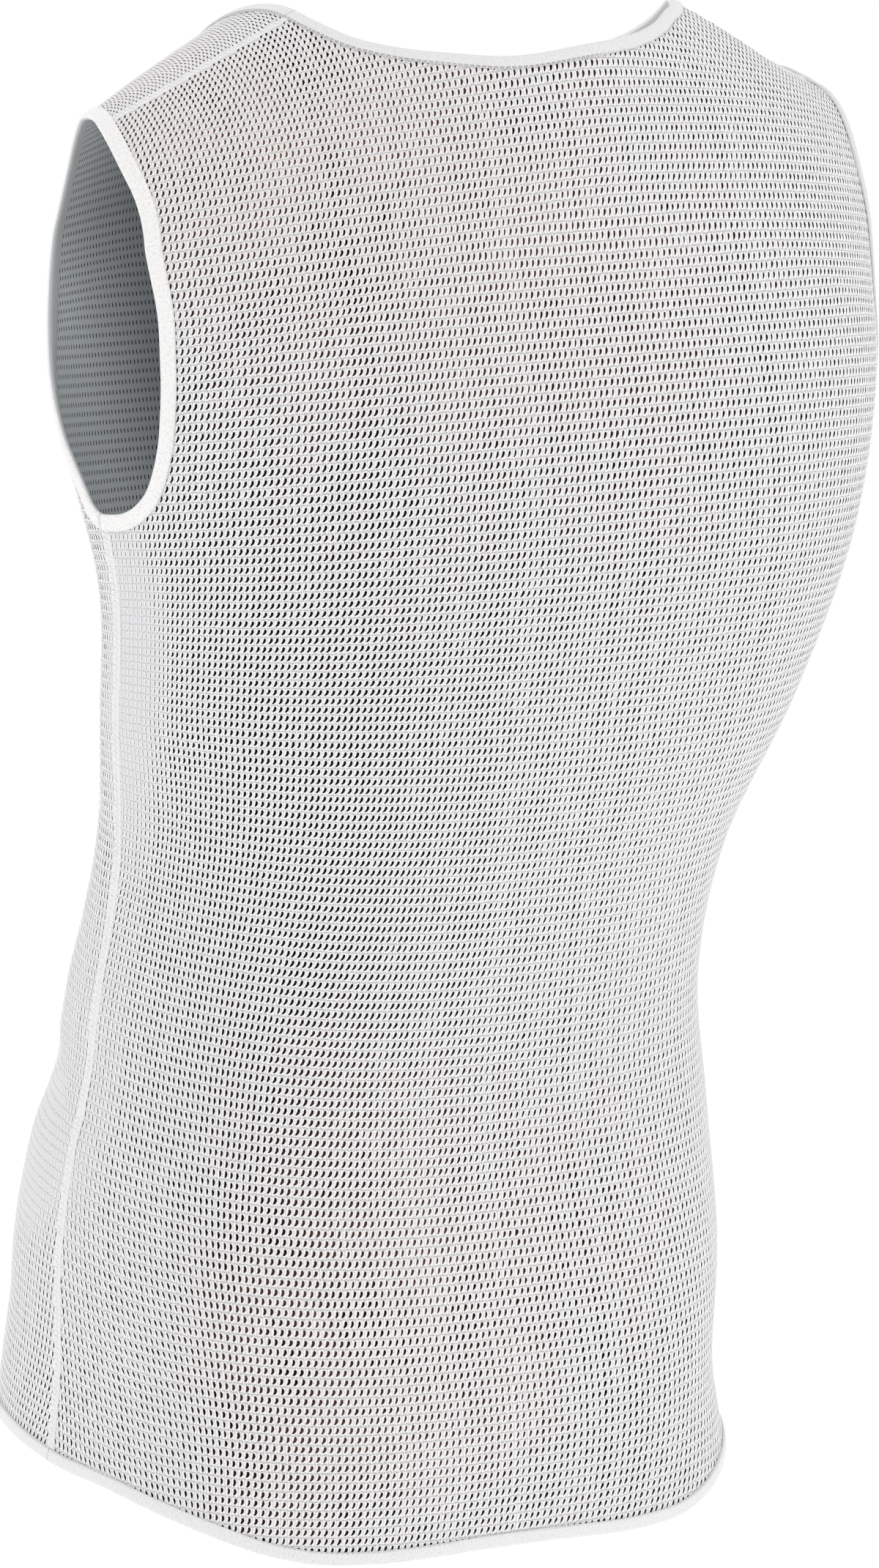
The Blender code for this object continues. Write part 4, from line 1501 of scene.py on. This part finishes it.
@dataclass(frozen=True)
class KnitFace:
    """White polyester mesh knit: matt filament yarn, greyer in the middle of a pillar, with a
    painted highlight where it turns round a slot, a mottled band greyed by painted shade between
    the loops, a thin painted shadow line at each course, and painted shade at the slots' rims and
    where they close."""

    # The cloth's white is also laid as a painted highlight where the yarn turns round a slot.
    cloth: Cloth = Cloth("white_polyester_mesh_knit", "#FAFAFA", 0.82, 0.10)
    pillar: str = "#DFDEE0"
    # Tones of painted shade: between the loops in the band, under each course's edge, at the
    # slots' rims and in shut slits.
    band: str = "#B7B6B8"
    course_shadow_line: str = "#A9A8AB"
    slot_edge_shade: str = "#A7A5A7"
    shut_slit_shade: str = "#DADADD"
    warm: str = "#FDFAF7"
    shut_most: float = 0.6
    shut_line: float = 0.35
    band_from: float = 0.30  # of a course from the slot's middle
    band_to: float = 0.42
    line_from: float = 0.46
    line_to: float = 0.49
    line_wave: float = 0.018
    loop_grain: float = 5.0  # grains per wale
    pillar_mottle: float = 0.30  # of the band's

    def make(self) -> Material:
        """Builds the material."""
        made, tree, uv = self.cloth.start()
        across, up = (add_node(tree, SPLIT, {0: uv}, k) for k in (0, 1))
        grain = {"Vector": uv, "Scale": self.loop_grain, "Detail": 2.0, "Roughness": 0.6}
        grain = add_node(tree, GRAIN, grain)
        shut, rim, warmth = (add_node(tree, kind, output="Fac") for kind in (SHUT, RIM, WARMTH))
        off = add_chain(
            tree, across, (TIMES, 2 * math.pi), (WAVE,), (TIMES, self.line_wave), (PLUS, up),
            (PART,), (LESS, 0.5), (SIZE,),
        )
        mottle = add_chain(tree, grain, (SOFT, 0.38, 0.64))
        # Painted shade: the band of loops greyed between them, mottled by the grain.
        band = add_chain(
            tree, off, (SOFT, self.band_from, self.band_to),
            (RANGE, 0.0, 1.0, self.pillar_mottle), (TIMES, mottle),
        )
        broken = add_chain(tree, grain, (SOFT, 0.36, 0.58))
        open_part = add_chain(tree, shut, (RANGE, 0.0, 1.0, 1.0, self.shut_line))
        # Painted shadow: a thin wavy line under each row's edge, broken by the grain.
        line = add_chain(
            tree, off, (SOFT, self.line_from, self.line_to), (TIMES, broken), (TIMES, open_part)
        )
        # Painted highlight near the slots; painted shade where they close, in the band, as the
        # shadow line under each course and at each slot's rim.
        layers = (
            (LAID, add_chain(tree, rim, (SOFT, 0.12, 0.60)), self.cloth.colour),
            (LAID, add_chain(tree, shut, (TIMES, self.shut_most)), self.shut_slit_shade),
            (LAID, band, self.band),
            (LAID, line, self.course_shadow_line),
            (LAID, add_chain(tree, rim, (SOFT, 0.80, 1.0)), self.slot_edge_shade),
            (TINTED, warmth, self.warm),
        )
        return dress(made, self.pillar, layers, (0.3, add_chain(tree, grain, (LESS, line))))


@dataclass(frozen=True)
class KnitReverse:
    """The reverse of the knit: outside, a sheet painted brown-black as the shade behind the slots;
    inside the garment, grey-white greyed by painted shade away from the armholes, with its slots
    painted dark."""

    # A dark sheet of painted shade where the slots show only shade, with warm brown clouds.
    behind: Cloth = Cloth("painted_shade_behind_slots", "#150B0A", 0.95, 0.0, 0.0)
    warm: str = "#5C403A"
    cloud: float = 0.08  # clouds per wale
    within: Cloth = Cloth("white_polyester_knit_reverse", "#D2D6D8", 0.90, 0.05)
    # Grey of the painted shade inside the garment.
    painted_shade_tone: str = "#74797B"
    # Colour of the slots painted dark on the inside, as shaded openings.
    slot: str = "#1F1918"
    # (middle, half size) of the drawn slot, in parts of a wale and then of a course.
    slot_places: tuple = ((0.52, 0.15), (0.53, 0.28))

    def make(self) -> list[Material]:
        """Builds the materials of the reverse's outer and inner faces."""
        # Painted shade behind the slots.
        behind, tree, uv = self.behind.start()
        warmth = add_node(tree, WARMTH, output="Fac")
        cloud = add_node(tree, GRAIN, {"Vector": uv, "Scale": self.cloud, "Detail": 2.0})
        cloud = add_chain(tree, cloud, (SOFT, 0.30, 0.70), (TIMES, warmth))
        dress(behind, self.behind.colour, ((LAID, cloud, self.warm),))
        within, tree, uv = self.within.start()
        # Painted shade: the slots drawn dark on the inside, where the openings read dark.
        square = []
        for k, (middle, half) in enumerate(self.slot_places):
            off = add_node(tree, SPLIT, {0: uv}, k)
            off = add_chain(tree, off, (PART,), (LESS, middle), (TIMES, 1 / half))
            square.append(add_chain(tree, off, (TIMES, off)))
        hole = add_chain(tree, square[0], (PLUS, square[1]), (SOFT, 1.2, 0.7))
        # Painted shade: the inside darkens away from the armholes.
        painted_shade = add_node(tree, PAINTED_SHADE, output="Fac")
        layers = ((LAID, painted_shade, self.painted_shade_tone), (LAID, hole, self.slot))
        return [behind, dress(within, self.within.colour, layers)]


@dataclass(frozen=True)
class ElasticFinish:
    """Woven elastic tape of polyester and elastane: smooth and off-white, with fine ribs
    across it and a dashed line of painted shadow along the side that meets the knit."""

    cloth: Cloth
    # The painted shadow along the side that meets the knit: its place, then its darkness.
    shadow_line_at: float  # millimetres inside the edge
    shadow_line_tone: float
    rib: float = 0.75  # millimetres from rib to rib
    mottle: float = 0.9  # patches per millimetre
    stitch: float = 2.4  # millimetres from dash to dash of the painted shadow line
    shadow_line_patch: float = 0.014  # patches per millimetre where the painted shadow line shows
    shadow_line_half: tuple = (0.42, 0.16)  # millimetres from the line to where it fades
    shade: str = "#CAC9CC"
    # Colour of the painted shadow line, and of the mark where the ends are joined.
    mark: str = "#8B8A8F"
    # The tape's inside: a greyer copy of it, as painted shade.
    within: str = "#C9CBCC"
    inside_painted_glow: float = 0.0

    def make(self) -> list[Material]:
        """Builds the materials of the tape's outside and inside; the inside is a greyer copy as
        painted shade, or has a painted glow.
        """
        made, tree, uv = self.cloth.start()
        run, across = (add_node(tree, SPLIT, {0: uv}, k) for k in (0, 1))
        join = add_node(tree, JOIN, output="Fac")
        ribs, dash = (
            add_chain(tree, run, (TIMES, 2 * math.pi / apart), (WAVE,))
            for apart in (self.rib, self.stitch)
        )
        tone = add_node(tree, GRAIN, {"Vector": uv, "Scale": self.mottle, "Detail": 3.0})
        tone = add_chain(tree, tone, (SOFT, 0.42, 0.75, 0.0, 0.40))
        patch = add_node(tree, PATCH, {"W": run, "Scale": self.shadow_line_patch})
        # Painted shadow: dashes along the edge that meets the knit, in patches, plus the mark
        # where the ends are joined.
        line = add_chain(
            tree, across, (LESS, self.shadow_line_at), (SIZE,), (SOFT, *self.shadow_line_half),
            (TIMES, add_chain(tree, dash, (SOFT, -0.9, -0.5, 0.0, self.shadow_line_tone))),
            (TIMES, add_chain(tree, patch, (SOFT, 0.40, 0.54))),
            (PLUS, add_chain(tree, join, (SOFT, 0.70, 0.95, 0.0, 0.45))),
        )
        layers = ((LAID, tone, self.shade), (LAID, line, self.mark))
        height = add_chain(tree, ribs, (TIMES, 0.5), (LESS, line))
        dress(made, self.cloth.colour, layers, (0.4, height))
        # The inside: the tape greyed as painted shade, or lit by a painted glow.
        name, roughness = f"{self.cloth.name}_inside", self.cloth.roughness
        return [made, Cloth(name, self.within, roughness, glow=self.inside_painted_glow).start()[0]]


@dataclass(frozen=True)
class ThreadFinish:
    """Textured polyester sewing thread: soft, slightly warm white, a little grey between
    the strands."""

    cloth: Cloth = Cloth("textured_polyester_thread", "#F3F3F3", 0.75, 0.1)
    bed: str = "#E9E9EA"

    def make(self) -> Material:
        """Builds the material."""
        made, tree, _ = self.cloth.start()
        strand = add_node(tree, STRAND, output="Fac")
        return dress(made, self.bed, ((LAID, strand, self.cloth.colour),))


# --- The studio


@dataclass
class Studio:
    """A plain white floor, soft light all round, and the camera behind the left side."""

    azimuth: float = math.radians(145.36)
    distance: float = 2.493
    eye_height: float = -0.132
    tilt: float = math.radians(4.06)
    aside: float = -0.0089
    lens: float = 131.8
    sensor: float = 36.0
    floor_height: float = -1.10
    floor_radius: float = 30.0
    floor_glow: float = 0.32
    backdrop: float = 1.03
    ambient: float = 0.76
    backdrop_edge: tuple = (0.0, 0.55)
    aim: Vector = Vector((0.0, 0.0, -0.28))
    # (name, place, side, watts) of each square soft light.
    softboxes: tuple = (
        ("right_light", (-1.9, 1.5, 0.7), 1.8, 11.0),
        ("left_light", (1.9, -1.7, 0.7), 1.8, 5.0),
        ("top_light", (1.2, 0.9, 1.9), 1.6, 13.0),
        ("front_light", (-0.6, -2.6, 0.9), 2.0, 10.0),
    )

    def placed(self, name: str, data: bpy.types.ID, place: Vector, look: Vector) -> None:
        """Puts a light or a camera in the studio.

        Args:
            name: Its name.
            data: The light or the camera.
            place: Where it stands.
            look: The way it faces.
        """
        made = bpy.data.objects.new(name, data)
        made.location, made.rotation_euler = place, look.to_track_quat("-Z", "Y").to_euler()
        bpy.context.scene.collection.objects.link(made)

    def floor(self) -> None:
        """Lays the floor: matt white paper, bright enough to run into the backdrop."""
        bpy.ops.mesh.primitive_circle_add(
            vertices=64, radius=self.floor_radius, fill_type="NGON",
            location=(0, 0, self.floor_height),
        )
        floor = bpy.context.active_object
        floor.name = "studio_floor"
        bpy.ops.object.transform_apply(location=True, rotation=True, scale=True)
        floor.data.materials.append(new_material("white_paper_floor", {
            "Base Color": (0.9, 0.9, 0.9, 1.0), "Roughness": 1.0, "Specular IOR Level": 0.0,
            "Emission Color": WHITE, "Emission Strength": self.floor_glow,
        }))

    def world(self) -> None:
        """Sets up the soft light all round, white at the backdrop and a little less in front."""
        world = bpy.data.worlds.new("white_studio")
        world.use_nodes = True
        tree = world.node_tree
        background = tree.nodes["Background"].inputs
        background["Color"].default_value = WHITE
        backdrop_way = (-math.sin(self.azimuth), math.cos(self.azimuth), 0.0)
        way = add_node(tree, ("ShaderNodeTexCoord", {}))
        dot = ("ShaderNodeVectorMath", {"operation": "DOT_PRODUCT"})
        facing = add_node(tree, dot, {0: way, 1: backdrop_way}, "Value")
        strength = (SOFT, *self.backdrop_edge, self.ambient, self.backdrop)
        tree.links.new(add_chain(tree, facing, strength), background["Strength"])
        bpy.context.scene.world = world

    def lights(self) -> None:
        """Lights the garment softly from both sides, from above and from the front."""
        bpy.context.scene.view_settings.view_transform = "Standard"
        for name, place, size, power in self.softboxes:
            light = bpy.data.lights.new(name, "AREA")
            light.shape, light.size, light.energy = "SQUARE", size, power
            self.placed(name, light, place, self.aim - Vector(place))

    def camera(self) -> None:
        """Sets the camera up."""
        out = Vector((math.sin(self.azimuth), -math.cos(self.azimuth), 0.0))
        right = Vector((math.cos(self.azimuth), math.sin(self.azimuth), 0.0))
        data = bpy.data.cameras.new("studio_camera")
        data.lens, data.sensor_width = self.lens, self.sensor
        data.clip_start, data.clip_end = 0.1, 100.0
        place = out * self.distance + right * self.aside + Vector((0, 0, self.eye_height))
        look = -out * math.cos(self.tilt) + Vector((0, 0, -math.sin(self.tilt)))
        self.placed("studio_camera", data, place, look)
        bpy.context.scene.camera = bpy.data.objects["studio_camera"]

    def build(self) -> None:
        """Builds floor, backdrop, lights and camera."""
        self.floor()
        self.world()
        self.lights()
        self.camera()


# --- The garment


@dataclass
class BaseLayer:
    """The whole garment."""

    armhole_width: float = 6.0 * MM
    neck_width: float = 5.4 * MM
    hem_width: float = 4.6 * MM
    side_width: float = 5.4 * MM
    shoulder_width: float = 4.2 * MM
    seeds: tuple = (11, 12)  # of the back and the front
    first_seam_seed: int = 31
    # Places of less stretch, where the slots close: (around, height, half share, half
    # height, closing). One whose closing is below zero is pulled wider.
    slack: tuple = (
        (0.97, -0.25, 0.105, 0.085, 1.0),  # under the armholes
        (-0.97, -0.25, 0.12, 0.075, 0.9),
        (0.55, -0.31, 0.32, 0.15, -0.46),  # pulled wider
        (0.47, -0.53, 0.15, 0.11, -0.18),
        (-0.02, -0.16, 0.14, 0.05, -0.2),
        (-0.25, -0.36, 0.2, 0.1, 0.22),
        (1.18, -0.478, 0.19, 0.034, 1.0),  # in the crease above the left hip
        (1.2, -0.48, 0.22, 0.08, 0.45),
        (1.08, -0.395, 0.13, 0.05, 0.5),
        (0.95, -0.45, 0.06, 0.07, 0.4),  # beside the side seams
        (0.5, 0.0, 0.32, 0.06, 0.12),
        (-0.66, -0.47, 0.17, 0.17, 0.7),
        (-1.16, -0.47, 0.2, 0.06, 0.8),
        (1.45, 0.08, 0.35, 0.06, 0.35),  # over the left shoulder
        (1.7, -0.3, 0.3, 0.13, -0.2),
        (-1.7, -0.5, 0.25, 0.11, 0.18),
    )
    cut: tuple = ((0.43, 0.68, 0.246), (0.43, 0.66, 0.216))  # width, length, area; relaxed

    def trims(self, panels: list[Outline]) -> list[Piece]:
        """Builds the bindings and the seams.

        Args:
            panels: The cut edges of the back, then of the front.

        Returns:
            The pieces.
        """
        neck = Cloth("neck_elastic", "#E5E4E4", 0.72, 0.10)
        bindings = (
            # The neck's inside keeps the tape's colour and has a painted glow.
            ("neck", "", self.neck_width, ElasticFinish(
                neck, 5.0, 0.75, within=neck.colour, inside_painted_glow=0.20)),
            ("hem", "", self.hem_width, ElasticFinish(
                Cloth("hem_elastic", "#E9E8E9", 0.72, 0.15), 4.2, 0.35)),
            ("armhole", "_left", self.armhole_width, ElasticFinish(
                Cloth("armhole_elastic", "#F2F1F0", 0.72, 0.10), 5.6, 0.10)),
            ("armhole", "_right", self.armhole_width, ElasticFinish(  # the same tape, greyed as painted shade
                Cloth("painted_shade_armhole_elastic", "#DDDEDF", 0.78), 5.6, 0.10)),
        )
        made = [
            Binding(panels, kind + flank, width, joined_at_front=kind == "hem").build(
                f"{kind}_elastic{flank}", f"{kind}_binding{flank}", finish.make())
            for kind, flank, width, finish in bindings
        ]
        thread, seed = ThreadFinish().make(), self.first_seam_seed
        for seam, width in (("side", self.side_width), ("shoulder", self.shoulder_width)):
            for flank in ("left", "right"):
                band = Flatlock(panels, f"{seam}_{flank}", seed, width)
                made.append(band.build(
                    f"{seam}_flatlock_{flank}", f"{seam}_seam_{flank}", thread))
                seed += 1
        return made

    def build(self) -> None:
        outlines = [Outline(WornForm(side)) for side in Side]
        face, reverse = KnitFace().make(), KnitReverse().make()
        panels = []
        for outline, seed in zip(outlines, self.seeds):
            name, gauge = outline.form.side.name.lower(), Gauge(outline.form)
            LOG.info("%s: %d courses, %d wales", name, gauge.courses, gauge.wales)
            panel = KnitPanel(outline, gauge, seed, self.slack)
            panels.append(panel.build(name, face, reverse))
        trims = self.trims(outlines)
        for (sheet, *faces), (width, length, area), on_it in zip(panels, self.cut, (trims, [])):
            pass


def main() -> None:
    """Builds the garment and its studio."""
    logging.basicConfig(level=logging.INFO, format="%(name)s %(message)s")
    BaseLayer().build()
    Studio().build()


if __name__ == "__main__":
    main()
